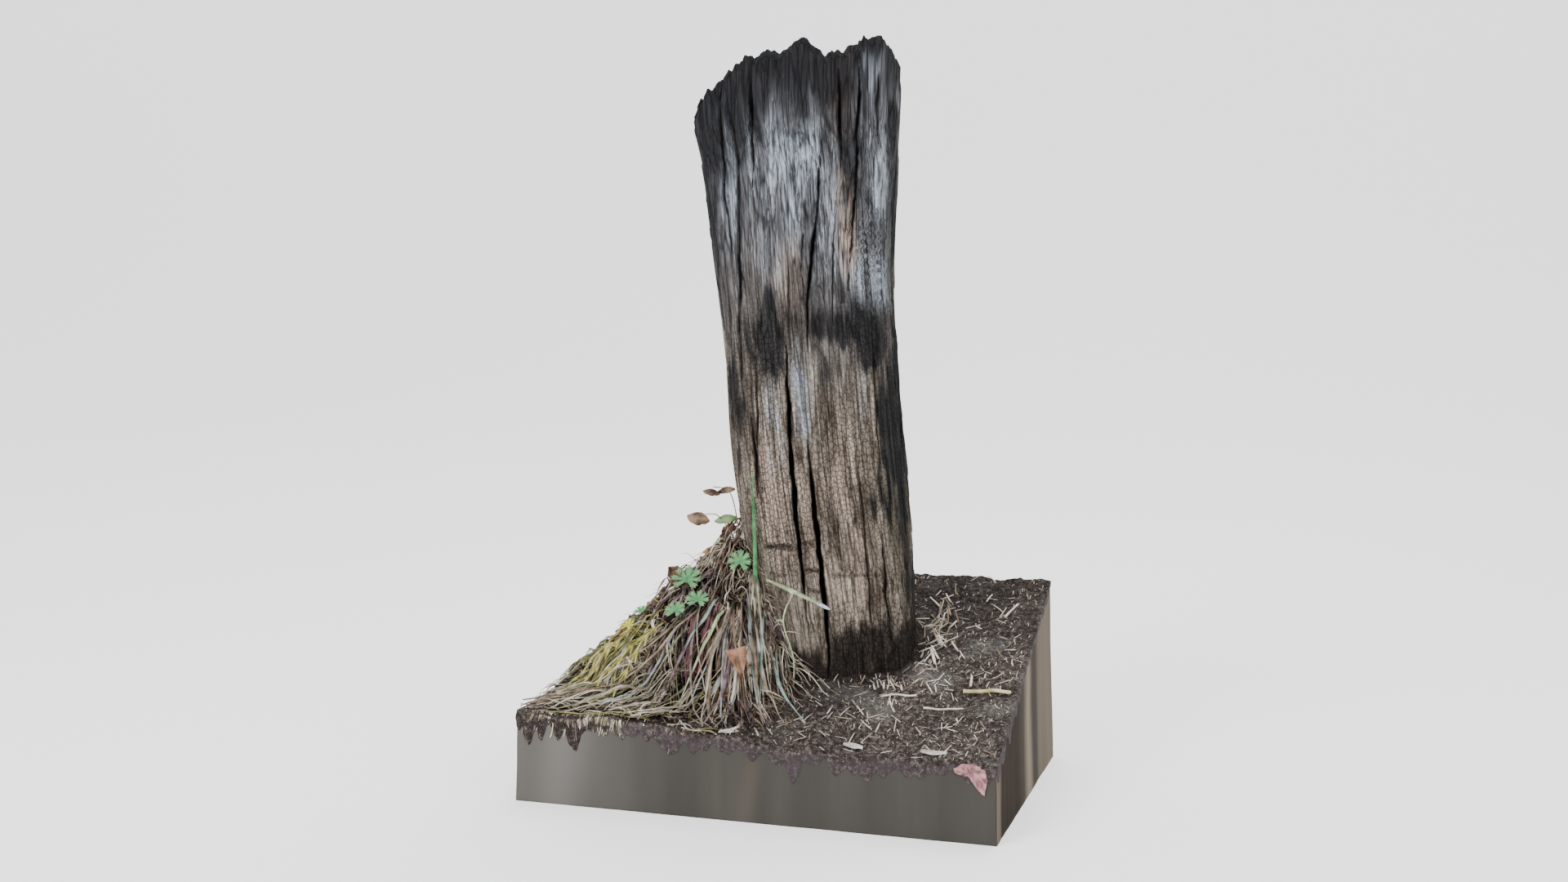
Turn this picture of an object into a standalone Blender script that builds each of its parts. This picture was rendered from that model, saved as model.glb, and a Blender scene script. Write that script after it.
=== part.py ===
"""A weathered tree stump that stands in a cut block of earth, with a tussock of dry grass at its foot.

Units are metres and +Z is up. The origin is the middle of the block's underside, and the block's long front
face looks along -Y. The stump's broad face is turned a little to the right of that.
"""

import math
import random

import bmesh
import bpy
from mathutils import Vector, noise

# The block of earth: its plan, and how far its sides lean in for each metre of height.
BLOCK_X = 0.700
BLOCK_Y = 0.455
BATTER = 0.10
CELLS_X = 26
CELLS_Y = 17
GAP = 0.0003

# The ground rises from front to back, steeply in the open field and gently on the bank at the left.
FIELD_FRONT = 0.108
FIELD_RISE = 0.166
BANK_FRONT = 0.130
BANK_RISE = 0.050
BANK_EDGE_X = -0.25
BANK_BLEND = 0.35
HUMP_AT = (-0.090, 0.010)
HUMP_SPREAD = (0.110, 0.120)
HUMP_HEIGHT = 0.085

# The dark topsoil is this deep inside the block, and hangs down the cut sides in a ragged fringe.
SOIL_DEPTH = 0.042
FRINGE_DEPTH = 0.020
FRINGE_RAG = 0.018
FRINGE_REACH = 0.045

# The stump: where its axis meets the ground, the turn of its broad face, and its squarish section.
STUMP_AT = (0.085, 0.030)
STUMP_TURN = math.radians(17.1)
STUMP_FOOT = 0.055
SECTION_POWER = 2.8
DEPTH_SHARE = 0.84
COLUMNS = 64
RINGS = 20
CAP_RINGS = 4
HOLLOW = 0.034
SOCKET_CLEARANCE = 0.0005

# Half width and sideways lean of the stump, each given as (height, size).
HALF_WIDTH = (
    (0.05, 0.102),
    (0.20, 0.108),
    (0.33, 0.119),
    (0.48, 0.124),
    (0.64, 0.1235),
    (0.76, 0.128),
    (0.90, 0.1405),
    (0.97, 0.150),
    (1.10, 0.153),
)
LEAN = (
    (0.05, -0.014),
    (0.20, -0.019),
    (0.33, -0.035),
    (0.48, -0.0555),
    (0.64, -0.0685),
    (0.76, -0.078),
    (0.90, -0.0835),
    (0.97, -0.0895),
    (1.10, -0.090),
)

# Height of the broken top along the broad face, from the left shoulder to the right, and of its far side.
RIM_FRONT = (
    (-0.245, 0.945),
    (-0.229, 0.986),
    (-0.200, 1.016),
    (-0.160, 1.044),
    (-0.118, 1.054),
    (-0.085, 1.069),
    (-0.045, 1.052),
    (-0.010, 1.064),
    (0.028, 1.076),
    (0.052, 1.058),
    (0.070, 1.015),
)
RIM_BACK = (
    (-0.245, 0.950),
    (-0.200, 0.985),
    (-0.150, 1.010),
    (-0.090, 1.040),
    (-0.030, 1.066),
    (0.020, 1.050),
    (0.070, 1.005),
)
RIM_MIDDLE = 1.05

# Cracks in the wood. Each has the side that it faces, in degrees from the broad face, its path as
# (place across that side from the stump's leaning middle, height), and its greatest width and depth.
CRACKS = (
    (0, ((-0.035, 0.655), (-0.036, 0.560), (-0.040, 0.460), (-0.044, 0.375), (-0.049, 0.255)), 0.010, 0.036),
    (0, ((-0.014, 0.520), (-0.015, 0.445), (-0.017, 0.370), (-0.020, 0.270), (-0.025, 0.165)), 0.010, 0.038),
    (0, ((0.032, 0.940), (0.021, 0.855), (0.010, 0.770), (-0.001, 0.700), (-0.006, 0.625)), 0.006, 0.022),
    (0, ((0.086, 1.100), (0.086, 1.000), (0.076, 0.900), (0.068, 0.800), (0.059, 0.715)), 0.008, 0.030),
    (-62, ((-0.030, 1.000), (-0.022, 0.860), (-0.026, 0.700), (-0.018, 0.560)), 0.007, 0.024),
    (75, ((0.020, 1.080), (0.012, 0.900), (0.018, 0.700), (0.008, 0.480)), 0.008, 0.028),
    (180, ((-0.020, 1.080), (-0.014, 0.900), (-0.022, 0.700), (-0.028, 0.300)), 0.009, 0.034),
    (180, ((0.038, 0.900), (0.032, 0.760), (0.036, 0.600), (0.024, 0.420)), 0.007, 0.024),
    (150, ((-0.070, 0.820), (-0.064, 0.640), (-0.074, 0.440), (-0.068, 0.240)), 0.008, 0.030),
)
CRACK_END = 0.28
CRACK_OVERSHOOT = 0.014

# The tussock of matted grass that leans on the stump's left side, and its hanging blades.
THATCH_AT = (-0.058, -0.030)
THATCH_RISE = 0.120
THATCH_ROUND = 1.7
THATCH_SKIRT = 0.020
ROOT_DEPTH = 0.014
THATCH_LEFT = 0.272
THATCH_RIGHT = 0.085
THATCH_FRONT = 0.165
THATCH_BACK = 0.190
THATCH_SECTORS = 40
THATCH_RINGS = 6
BLADE_COUNT = 56
BLADE_TIP = 0.28
PALE_TIP = 0.6
BLADE_STEPS = 4
BLADE_BEARINGS = (100, 345)
BLADE_WIDTH = 0.0050
BLADE_THICK = 0.0018
PLANT_CLEARANCE = 0.0006
EDGE_MARGIN = 0.014
ABOVE_GROUND = 0.0045
BESIDE_STUMP = 1.10
TOWARDS_VIEWER = (0.2, -0.8, 0.55)
UPWARDS = (0, 0, 1)

# Cranesbill leaves: the middle of each, its radius, the way that it faces, and its root in plan.
CRANESBILLS = (
    ((-0.060, -0.076, 0.336), 0.0180, (0.15, -0.85, 0.50), (-0.048, -0.056)),
    ((-0.140, -0.078, 0.306), 0.0240, (0.10, -0.60, 0.80), (-0.128, -0.050)),
    ((-0.112, -0.112, 0.284), 0.0180, (0.05, -0.55, 0.83), (-0.104, -0.088)),
    ((-0.144, -0.118, 0.268), 0.0160, (-0.10, -0.60, 0.80), (-0.139, -0.102)),
    ((-0.221, -0.060, 0.250), 0.0115, (-0.30, -0.40, 0.86), (-0.200, -0.045)),
)
YELLOW_CRANESBILLS = (((-0.226, -0.096, 0.236), 0.0120, (-0.20, -0.60, 0.77), (-0.205, -0.080)),)
LEAF_THICK = 0.0009
LEAF_CUP = 0.16
STALK_WIDE = 0.0022
STALK_BEND = Vector((0.0, 0.003, 0.005))

# Blades and stems that hang from the tussock: root, bend and tip in plan, how far each bows out, and width.
GREEN_BLADES = (
    (((-0.024, -0.080), (-0.010, -0.135), (0.002, -0.176)), 0.022, 0.0060),
    (((-0.004, -0.085), (0.012, -0.150), (0.072, -0.186)), 0.016, 0.0052),
    (((-0.066, -0.095), (-0.084, -0.150), (-0.122, -0.200)), 0.016, 0.0052),
    (((-0.084, -0.090), (-0.100, -0.135), (-0.136, -0.168)), 0.018, 0.0048),
)
YELLOW_STEMS = (
    (((-0.190, -0.070), (-0.225, -0.130), (-0.282, -0.180)), 0.016, 0.0046),
    (((-0.165, -0.085), (-0.195, -0.150), (-0.245, -0.196)), 0.016, 0.0042),
    (((-0.215, -0.050), (-0.262, -0.100), (-0.312, -0.140)), 0.014, 0.0042),
)
RED_STEMS = (
    (((-0.116, -0.096), (-0.116, -0.130), (-0.106, -0.165)), 0.008, 0.0048),
    (((-0.092, -0.092), (-0.094, -0.128), (-0.088, -0.166)), 0.006, 0.0044),
)

# A tall blade beside the stump: its root in plan, then the points that follow, and the width.
TALL_BLADES = (
    (((-0.035, -0.078), (-0.033, -0.088, 0.330), (-0.030, -0.101, 0.400), (-0.028, -0.116, 0.470)), 0.0070),
)

# The pale stalk that leans across the stump's foot: its leaf, and the branch that holds it up from the soil.
PALE_LEAF = ((-0.004, -0.126, 0.322), (0.033, -0.116, 0.305), (0.058, -0.108, 0.292), (0.082, -0.100, 0.279))
PALE_BRANCH = ((0.026, -0.098, 0.150), (0.030, -0.106, 0.205), (0.017, -0.114, 0.262), (0.033, -0.116, 0.305))
PALE_STALKS = (((PALE_LEAF, 0.0055), (PALE_BRANCH, 0.0024)),)

# Withered sprigs: the stem's root in plan and its points, the middles of its leaves, and their half length.
SPRIGS = (
    (
        ((-0.078, -0.030), (-0.082, -0.050, 0.372), (-0.100, -0.062, 0.400), (-0.128, -0.070, 0.398)),
        ((-0.086, -0.056, 0.394), (-0.128, -0.070, 0.398)),
        0.0110,
    ),
    (
        ((-0.066, -0.048), (-0.068, -0.062, 0.390), (-0.076, -0.074, 0.436), (-0.098, -0.084, 0.444)),
        ((-0.078, -0.076, 0.440), (-0.100, -0.085, 0.441)),
        0.0075,
    ),
)

# Dead leaves: middle, half length, half width, the tip's direction, the face's direction, and the root.
DEAD_LEAVES = (
    ((-0.034, -0.150, 0.206), 0.0200, 0.0115, (0.20, 0.25, -0.90), (0.10, -0.95, 0.25), (-0.040, -0.112)),
    ((-0.160, -0.062, 0.306), 0.0150, 0.0105, (-0.60, -0.30, 0.70), (-0.20, -0.70, 0.60), (-0.148, -0.052)),
)
DEAD_LEAF_THICK = 0.0013

# Long straws and chips that lie pressed into the topsoil: both ends in plan, and the width and thickness.
LONG_STRAWS = (
    ((0.268, -0.070), (0.334, -0.062), (0.0060, 0.0050)),
    ((0.276, -0.058), (0.272, -0.030), (0.0048, 0.0040)),
    ((0.156, -0.098), (0.206, -0.092), (0.0044, 0.0040)),
    ((0.200, 0.024), (0.214, -0.012), (0.0054, 0.0040)),
    ((0.222, -0.118), (0.276, -0.108), (0.0044, 0.0040)),
    ((0.290, 0.120), (0.304, 0.150), (0.0050, 0.0040)),
)
CHIPS = (
    ((-0.044, -0.214), (-0.018, -0.212), (0.0100, 0.0060)),
    ((0.132, -0.207), (0.160, -0.212), (0.0110, 0.0060)),
    ((0.240, -0.210), (0.276, -0.211), (0.0080, 0.0050)),
)
STRAW_COUNT = 24
STRAW_WIDTH = 0.0042
STRAW_LENGTHS = (0.018, 0.046)
STRAW_ABOVE = 0.0010
STRAW_AREA = (0.305, 0.188)
STRAW_FROM_STUMP = 0.165
STRAW_FROM_TUSSOCK = 1.35
STRAWS_APART = 0.055

SEED = 11

# Colour as linear light, and roughness.
FINISHES = {
    "weathered_wood": ((0.150, 0.140, 0.130), 0.90),
    "topsoil": ((0.045, 0.036, 0.032), 0.95),
    "subsoil": ((0.125, 0.110, 0.100), 0.75),
    "dry_grass": ((0.330, 0.250, 0.180), 0.85),
    "green_leaf": ((0.120, 0.400, 0.160), 0.60),
    "yellow_leaf": ((0.600, 0.560, 0.110), 0.65),
    "yellow_stem": ((0.520, 0.460, 0.160), 0.70),
    "red_stem": ((0.260, 0.110, 0.120), 0.70),
    "blue_green_blade": ((0.230, 0.330, 0.290), 0.60),
    "pale_stalk": ((0.420, 0.450, 0.280), 0.65),
    "dead_leaf": ((0.330, 0.190, 0.110), 0.80),
    "straw": ((0.520, 0.440, 0.350), 0.75),
}


def smooth(t):
    """An even step from 0 to 1."""
    t = min(max(t, 0.0), 1.0)
    return t * t * (3 - 2 * t)


def value_at(points, x):
    """A smooth curve through (place, value) points."""
    if x <= points[0][0]:
        return points[0][1]
    if x >= points[-1][0]:
        return points[-1][1]
    i = max(k for k in range(len(points) - 1) if points[k][0] <= x)
    (x0, y0), (x1, y1) = points[i], points[i + 1]
    before = points[max(i - 1, 0)]
    after = points[min(i + 2, len(points) - 1)]
    slope0 = (y1 - before[1]) / (x1 - before[0])
    slope1 = (after[1] - y0) / (after[0] - x0)
    h = x1 - x0
    t = (x - x0) / h
    return (
        (2 * t**3 - 3 * t**2 + 1) * y0
        + (t**3 - 2 * t**2 + t) * h * slope0
        + (3 * t**2 - 2 * t**3) * y1
        + (t**3 - t**2) * h * slope1
    )


def ground(x, y):
    """Height of the topsoil's surface."""
    back = (y + BLOCK_Y / 2) / BLOCK_Y
    field = FIELD_FRONT + FIELD_RISE * back
    bank = BANK_FRONT + BANK_RISE * back**2
    share = smooth((x - BANK_EDGE_X) / BANK_BLEND)
    away = ((x - HUMP_AT[0]) / HUMP_SPREAD[0]) ** 2 + ((y - HUMP_AT[1]) / HUMP_SPREAD[1]) ** 2
    hump = HUMP_HEIGHT * math.exp(-away)
    clods = 0.0050 * noise.noise(Vector((x * 17, y * 17, 3.0)))
    crumbs = 0.0030 * noise.noise(Vector((x * 43, y * 43, 9.0)))
    return bank + (field - bank) * share + hump + clods + crumbs


def soil_floor(x, y):
    """Height of the topsoil's underside, which comes up to a ragged line at the block's sides."""
    inside = min(BLOCK_X / 2 - abs(x), BLOCK_Y / 2 - abs(y))
    rag = 0.6 * noise.noise(Vector((x * 31, y * 31, 1.0))) + noise.noise(Vector((x * 67, y * 67, 5.0)))
    front = smooth((0.05 - y) / 0.2)
    edge = FRINGE_DEPTH * (0.55 + 0.45 * front) + FRINGE_RAG * rag * (0.5 + 0.5 * front)
    depth = max(edge, 0.008) + (SOIL_DEPTH - max(edge, 0.008)) * smooth(inside / FRINGE_REACH)
    return ground(x, y) - depth


def thatch_distance(x, y):
    """How far out a place is in the tussock: 0 at its top and 1 at its edge."""
    dx, dy = x - THATCH_AT[0], y - THATCH_AT[1]
    reach_x = THATCH_LEFT if dx < 0 else THATCH_RIGHT
    reach_y = THATCH_FRONT if dy < 0 else THATCH_BACK
    return math.hypot(dx / reach_x, dy / reach_y)


def thatch_top(x, y):
    """Height of the matted grass."""
    out = thatch_distance(x, y)
    bearing = math.atan2(y - THATCH_AT[1], x - THATCH_AT[0])
    lumps = 0.009 * noise.noise(Vector((x * 30, y * 30, 12.0)))
    locks = 0.016 * min(out, 1.0) * noise.noise(Vector((bearing * 4.2, out, 5.0)))
    return ground(x, y) + THATCH_RISE * (1 - out**THATCH_ROUND) + lumps + locks


def thatch_place(bearing, share):
    """A place in plan, this way from the tussock's top and this share of the way out to its edge."""
    dx, dy = math.cos(bearing) * share, math.sin(bearing) * share
    reach_x = THATCH_LEFT if dx < 0 else THATCH_RIGHT
    reach_y = THATCH_FRONT if dy < 0 else THATCH_BACK
    return THATCH_AT[0] + dx * reach_x, THATCH_AT[1] + dy * reach_y


def in_thatch(point):
    """Where a plant over this place in plan has its root: a little way down in the matted grass."""
    x, y = point[0], point[1]
    return Vector((x, y, thatch_top(x, y) - ROOT_DEPTH))


def stump_point(sideways, inward, z):
    """World place of a point beside the stump's axis, in the stump's own turned directions."""
    c, s = math.cos(STUMP_TURN), math.sin(STUMP_TURN)
    return Vector((STUMP_AT[0] + sideways * c - inward * s, STUMP_AT[1] + sideways * s + inward * c, z))


def signed_power(value, power):
    return math.copysign(abs(value) ** power, value)


def ridges(angle, z):
    """How far the weathered wood stands out of its smooth section."""
    x, y = math.cos(angle), math.sin(angle)
    broad = 0.0075 * noise.noise(Vector((x * 1.7, y * 1.7, z * 1.3)))
    flutes = 0.0050 * noise.noise(Vector((x * 6.5, y * 6.5, z * 1.6 + 4)))
    grain = 0.0030 * noise.noise(Vector((x * 15, y * 15, z * 2.2 + 8)))
    return broad + flutes + grain


def stump_wall(angle, z, grow=0.0):
    """(sideways, inward) of the stump's outside from its axis, at this angle round it and this height."""
    half = value_at(HALF_WIDTH, z)
    stand = ridges(angle, z) + grow
    wide, deep = half + stand, half * DEPTH_SHARE + stand
    u = wide * signed_power(math.cos(angle), 2 / SECTION_POWER)
    v = deep * signed_power(math.sin(angle), 2 / SECTION_POWER)
    return value_at(LEAN, z) + u, v


def top_height(u, v):
    """Height of the broken top over a place in the section, before splinters and hollow."""
    back = smooth(0.5 + 0.5 * v / (value_at(HALF_WIDTH, 1.0) * DEPTH_SHARE))
    return value_at(RIM_FRONT, u) * (1 - back) + value_at(RIM_BACK, u) * back


def splinters(angle):
    """How far the rim's jagged edge stands up."""
    x, y = math.cos(angle), math.sin(angle)
    broad = 0.008 * noise.noise(Vector((x * 9, y * 9, 2.0)))
    shard = 0.007 * noise.noise(Vector((x * 21, y * 21, 6.0)))
    return broad + shard


def new_object(name, mesh, group):
    made = bpy.data.objects.new(name, mesh)
    group.objects.link(made)
    return made


def mesh_from(bm, name):
    """Turns the working mesh into a stored one, with its faces pointing out."""
    bmesh.ops.recalc_face_normals(bm, faces=bm.faces)
    mesh = bpy.data.meshes.new(name)
    bm.to_mesh(mesh)
    bm.free()
    return mesh


def slab(name, upper, lower, group):
    """A solid between two height functions over the block's plan, with its sides battered."""
    bm = bmesh.new()
    bmesh.ops.create_grid(bm, x_segments=CELLS_X, y_segments=CELLS_Y, size=0.5)
    bmesh.ops.triangulate(bm, faces=bm.faces)
    low = list(bm.verts)
    raised = bmesh.ops.extrude_face_region(bm, geom=bm.faces[:], use_keep_orig=True)
    high = [g for g in raised["geom"] if isinstance(g, bmesh.types.BMVert)]
    for verts, height in ((low, lower), (high, upper)):
        for v in verts:
            x, y = v.co.x * BLOCK_X, v.co.y * BLOCK_Y
            z = height(x, y)
            v.co = (x * (1 - BATTER * z), y * (1 - BATTER * z), z)
    return new_object(name, mesh_from(bm, name), group)


def loft(name, sections, group, end_point=None):
    """A closed solid through rings of points, capped at both ends, or drawn to a point at the far one."""
    bm = bmesh.new()
    rings = [[bm.verts.new(p) for p in section] for section in sections]
    count = len(rings[0])
    for lower, upper in zip(rings, rings[1:]):
        for i in range(count):
            k = (i + 1) % count
            bm.faces.new((lower[i], lower[k], upper[k]))
            bm.faces.new((lower[i], upper[k], upper[i]))
    bm.faces.new(rings[0])
    if end_point is None:
        bm.faces.new(rings[-1])
    else:
        tip = bm.verts.new(end_point)
        for i in range(count):
            bm.faces.new((rings[-1][i], rings[-1][(i + 1) % count], tip))
    bmesh.ops.triangulate(bm, faces=[f for f in bm.faces if len(f.verts) > 3])
    return new_object(name, mesh_from(bm, name), group)


def stump_solid(name, group, grow=0.0):
    """The stump without its cracks: rings up to the broken rim, then rings in over the hollow top."""
    angles = [2 * math.pi * i / COLUMNS for i in range(COLUMNS)]
    foot = STUMP_FOOT - grow
    rims = []
    for angle in angles:
        z = RIM_MIDDLE
        for _ in range(6):
            z = top_height(*stump_wall(angle, z, grow)) + splinters(angle)
        rims.append(z)
    sections = []
    for r in range(RINGS + 1):
        share = r / RINGS
        section = []
        for angle, rim in zip(angles, rims):
            z = foot + (rim - foot) * share
            section.append(stump_point(*stump_wall(angle, z, grow), z))
        sections.append(section)
    for r in range(1, CAP_RINGS):
        inset = 1 - (r / CAP_RINGS) ** 0.8
        section = []
        for angle, rim in zip(angles, rims):
            u, v = stump_wall(angle, rim, grow)
            lean = value_at(LEAN, rim)
            u, v = lean + (u - lean) * inset, v * inset
            crumble = 0.014 * noise.noise(Vector((u * 34, v * 34, 7.0)))
            sunk = (HOLLOW - crumble) * (1 - inset**3)
            section.append(stump_point(u, v, top_height(u, v) + splinters(angle) * inset**6 - sunk))
        sections.append(section)
    lean = value_at(LEAN, RIM_MIDDLE)
    middle = stump_point(lean, 0.0, top_height(lean, 0.0) - HOLLOW)
    return loft(name, sections, group, end_point=middle)


def section_share(u, v, z):
    """How far out a place is in the stump's smooth section: 0 at its middle and 1 at its face."""
    half = value_at(HALF_WIDTH, z)
    wide, deep = abs(u) / half, abs(v) / (half * DEPTH_SHARE)
    return (wide**SECTION_POWER + deep**SECTION_POWER) ** (1 / SECTION_POWER)


def face_reach(start, out, z):
    """How far the stump's face lies from a place in its section, this way out."""
    near, far = 0.0, 2 * value_at(HALF_WIDTH, z)
    for _ in range(20):
        middle = (near + far) / 2
        if section_share(*(start + out * middle), z) < 1:
            near = middle
        else:
            far = middle
    return near


def crack_cutter(name, crack, group):
    """A long wedge that opens a crack: widest at the bark side, closing to a line inside the wood."""
    facing, path, width, depth = crack
    turn = math.radians(facing)
    sections = []
    for i, (place, z) in enumerate(path):
        open_share = max(math.sin(math.pi * i / (len(path) - 1)), CRACK_END)
        across, out = Vector((math.cos(turn), math.sin(turn))), Vector((math.sin(turn), -math.cos(turn)))
        face = face_reach(across * place, out, z)
        half_open = width / 2 * open_share * (1 + CRACK_OVERSHOOT / depth)
        ring = []
        for side, reach in (
            (-half_open, face + CRACK_OVERSHOOT),
            (half_open, face + CRACK_OVERSHOOT),
            (0.0, face - depth * open_share),
        ):
            u, v = across * (place + side) + out * reach
            ring.append(stump_point(value_at(LEAN, z) + u, v, z))
        sections.append(ring)
    return loft(name, sections, group)


def strand(name, points, size, group, face, grow=0.0, tip_share=1.0):
    """A grass blade, straw or stem of this (width, thickness): a flat face with a keel behind it."""
    sections = []
    width, thick = size
    last = len(points) - 1
    for i, point in enumerate(points):
        ahead = (points[min(i + 1, last)] - points[max(i - 1, 0)]).normalized()
        side = ahead.cross(Vector(face)).normalized()
        normal = side.cross(ahead)
        taper = 1 - (1 - tip_share) * (i / last) ** 1.6
        half = width / 2 * taper
        keel = thick * (0.6 + 0.4 * taper)
        inner = half * keel / (half + math.hypot(half, keel))
        centre = point - normal * inner
        corners = (point - side * half, point + side * half, point - normal * keel)
        sections.append([centre + (corner - centre) * (1 + grow / inner) for corner in corners])
    first, tip = (points[1] - points[0]).normalized(), (points[-1] - points[-2]).normalized()
    sections[0] = [p - first * grow for p in sections[0]]
    sections[-1] = [p + tip * grow for p in sections[-1]]
    return loft(name, sections, group)


def helper_group(name):
    group = bpy.data.collections.new(name)
    bpy.context.scene.collection.children.link(group)
    return group


def apply_boolean(target, tools, operation):
    """Joins tools to the target, or cuts them from it, and then removes them."""
    modifier = target.modifiers.new(operation.title(), "BOOLEAN")
    modifier.operation = operation
    modifier.operand_type = "COLLECTION"
    modifier.collection = tools
    modifier.solver = "MANIFOLD"
    graph = bpy.context.evaluated_depsgraph_get()
    graph.update()
    mesh = bpy.data.meshes.new_from_object(target.evaluated_get(graph))
    target.modifiers.clear()
    target.data = mesh
    for tool in list(tools.objects):
        bpy.data.objects.remove(tool)
    bpy.data.collections.remove(tools)


def keep_largest(target):
    """Drops the loose scraps that a cut leaves, so that the piece is one body."""
    bm = bmesh.new()
    bm.from_mesh(target.data)
    left = set(bm.faces)
    bodies = []
    while left:
        front = [left.pop()]
        body = list(front)
        while front:
            for edge in front.pop().edges:
                for face in edge.link_faces:
                    if face in left:
                        left.remove(face)
                        body.append(face)
                        front.append(face)
        bodies.append(body)
    bodies.sort(key=lambda body: sum(face.calc_area() for face in body))
    bmesh.ops.delete(bm, geom=[face for body in bodies[:-1] for face in body], context="FACES")
    bm.to_mesh(target.data)
    bm.free()


def finish(name, colour, roughness):
    """A matt natural finish in one colour."""
    made = bpy.data.materials.new(name)
    made.use_nodes = True
    shader = made.node_tree.nodes["Principled BSDF"]
    shader.inputs["Base Color"].default_value = (*colour, 1)
    shader.inputs["Roughness"].default_value = roughness
    shader.inputs["Metallic"].default_value = 0.0
    return made


def straw_points(rng):
    """A straw that lies on the open ground, clear of the stump and the tussock, half pressed in."""
    while True:
        spot = Vector([rng.uniform(-reach, reach) for reach in STRAW_AREA])
        clear = (spot - Vector(STUMP_AT)).length > STRAW_FROM_STUMP
        apart = min((spot - (Vector(a) + Vector(b)) / 2).length for a, b, _ in LONG_STRAWS + CHIPS)
        if clear and thatch_distance(*spot) > STRAW_FROM_TUSSOCK and apart > STRAWS_APART:
            break
    length, heading = rng.uniform(*STRAW_LENGTHS), rng.uniform(0, math.pi)
    step = Vector((math.cos(heading), math.sin(heading))) * length / 2
    return [on_ground(spot + step * k) for k in (-1, 0, 1)]


def on_ground(spot):
    """The place on the topsoil's faceted surface over this spot in plan, where a straw shows its face."""
    cell_x, cell_y = BLOCK_X / CELLS_X, BLOCK_Y / CELLS_Y
    col, row = spot[0] / cell_x + CELLS_X / 2, spot[1] / cell_y + CELLS_Y / 2
    left, low = math.floor(col), math.floor(row)
    corners = [(i, j) for i in (left, left + 1) for j in (low, low + 1)]
    heights = []
    for i, j in corners:
        share = (1 - abs(col - i)) * (1 - abs(row - j))
        heights.append(share * ground((i - CELLS_X / 2) * cell_x, (j - CELLS_Y / 2) * cell_y))
    return Vector((spot[0], spot[1], sum(heights) + STRAW_ABOVE))


def settled(points, rooted=1):
    """Lifts all but the rooted points clear of the ground, the stump and the block's edges."""
    held = list(points[:rooted])
    for point in points[rooted:]:
        p = Vector(point)
        p.x = min(max(p.x, EDGE_MARGIN - BLOCK_X / 2), BLOCK_X / 2 - EDGE_MARGIN)
        p.y = min(max(p.y, EDGE_MARGIN - BLOCK_Y / 2), BLOCK_Y / 2 - EDGE_MARGIN)
        p.z = max(p.z, ground(p.x, p.y) + ABOVE_GROUND)
        held.append(clear_of_stump(p))
    return held


def clear_of_stump(p):
    """Moves a point that is inside the stump, or very near it, out to its side."""
    c, s = math.cos(STUMP_TURN), math.sin(STUMP_TURN)
    dx, dy = p.x - STUMP_AT[0], p.y - STUMP_AT[1]
    lean = value_at(LEAN, p.z)
    u, v = dx * c + dy * s - lean, dy * c - dx * s
    share = section_share(u, v, p.z) / BESIDE_STUMP
    if share >= 1:
        return p
    return stump_point(lean + u / share, v / share, p.z)


def dry_blade(name, rng, group):
    """A blade that sets out high in the tussock, bows away from it and hangs down its side to the ground."""
    bearing = math.radians(rng.uniform(*BLADE_BEARINGS))
    start, reach = rng.uniform(0.03, 0.62), rng.uniform(0.32, 0.66)
    swerve, bow = rng.uniform(-0.45, 0.45), rng.uniform(0.008, 0.022)
    steps = ((0, start), (0.2 * swerve, start + 0.5 * reach), (swerve, start + reach))
    path = [thatch_place(bearing + turn, share) for turn, share in steps]
    face = (math.cos(bearing), math.sin(bearing), 1)
    size = BLADE_WIDTH * rng.uniform(0.7, 1.2), BLADE_THICK
    strand(name, hanging(path, bow), size, group, face, tip_share=BLADE_TIP)


def hanging(path, bow):
    """Points of a blade that roots at the path's start in plan and bows over the tussock along it."""
    root, bend, tip = (Vector(place) for place in path)
    points = [in_thatch(root)]
    for i in range(1, BLADE_STEPS + 1):
        t = i / BLADE_STEPS
        x, y = root * (1 - t) ** 2 + bend * 2 * t * (1 - t) + tip * t**2
        covered = max(thatch_top(x, y), ground(x, y))
        points.append(Vector((x, y, covered + 0.003 + bow * math.sin(math.pi * t))))
    return settled(points)


def thatch_core(name, group):
    """The matted middle of the tussock, which its blades stand out of."""
    sections = []
    for r in range(THATCH_RINGS + 1):
        out = 1.03 * (1 - r / (THATCH_RINGS + 1))
        section = []
        for k in range(THATCH_SECTORS):
            x, y = thatch_place(2 * math.pi * k / THATCH_SECTORS, out)
            section.append(Vector((x, y, thatch_top(x, y))))
        if r == 0:
            sections.append([Vector((p.x, p.y, p.z - THATCH_SKIRT)) for p in section])
        sections.append(section)
    top = Vector((*THATCH_AT, thatch_top(*THATCH_AT)))
    return loft(name, sections, group, end_point=top)


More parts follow.
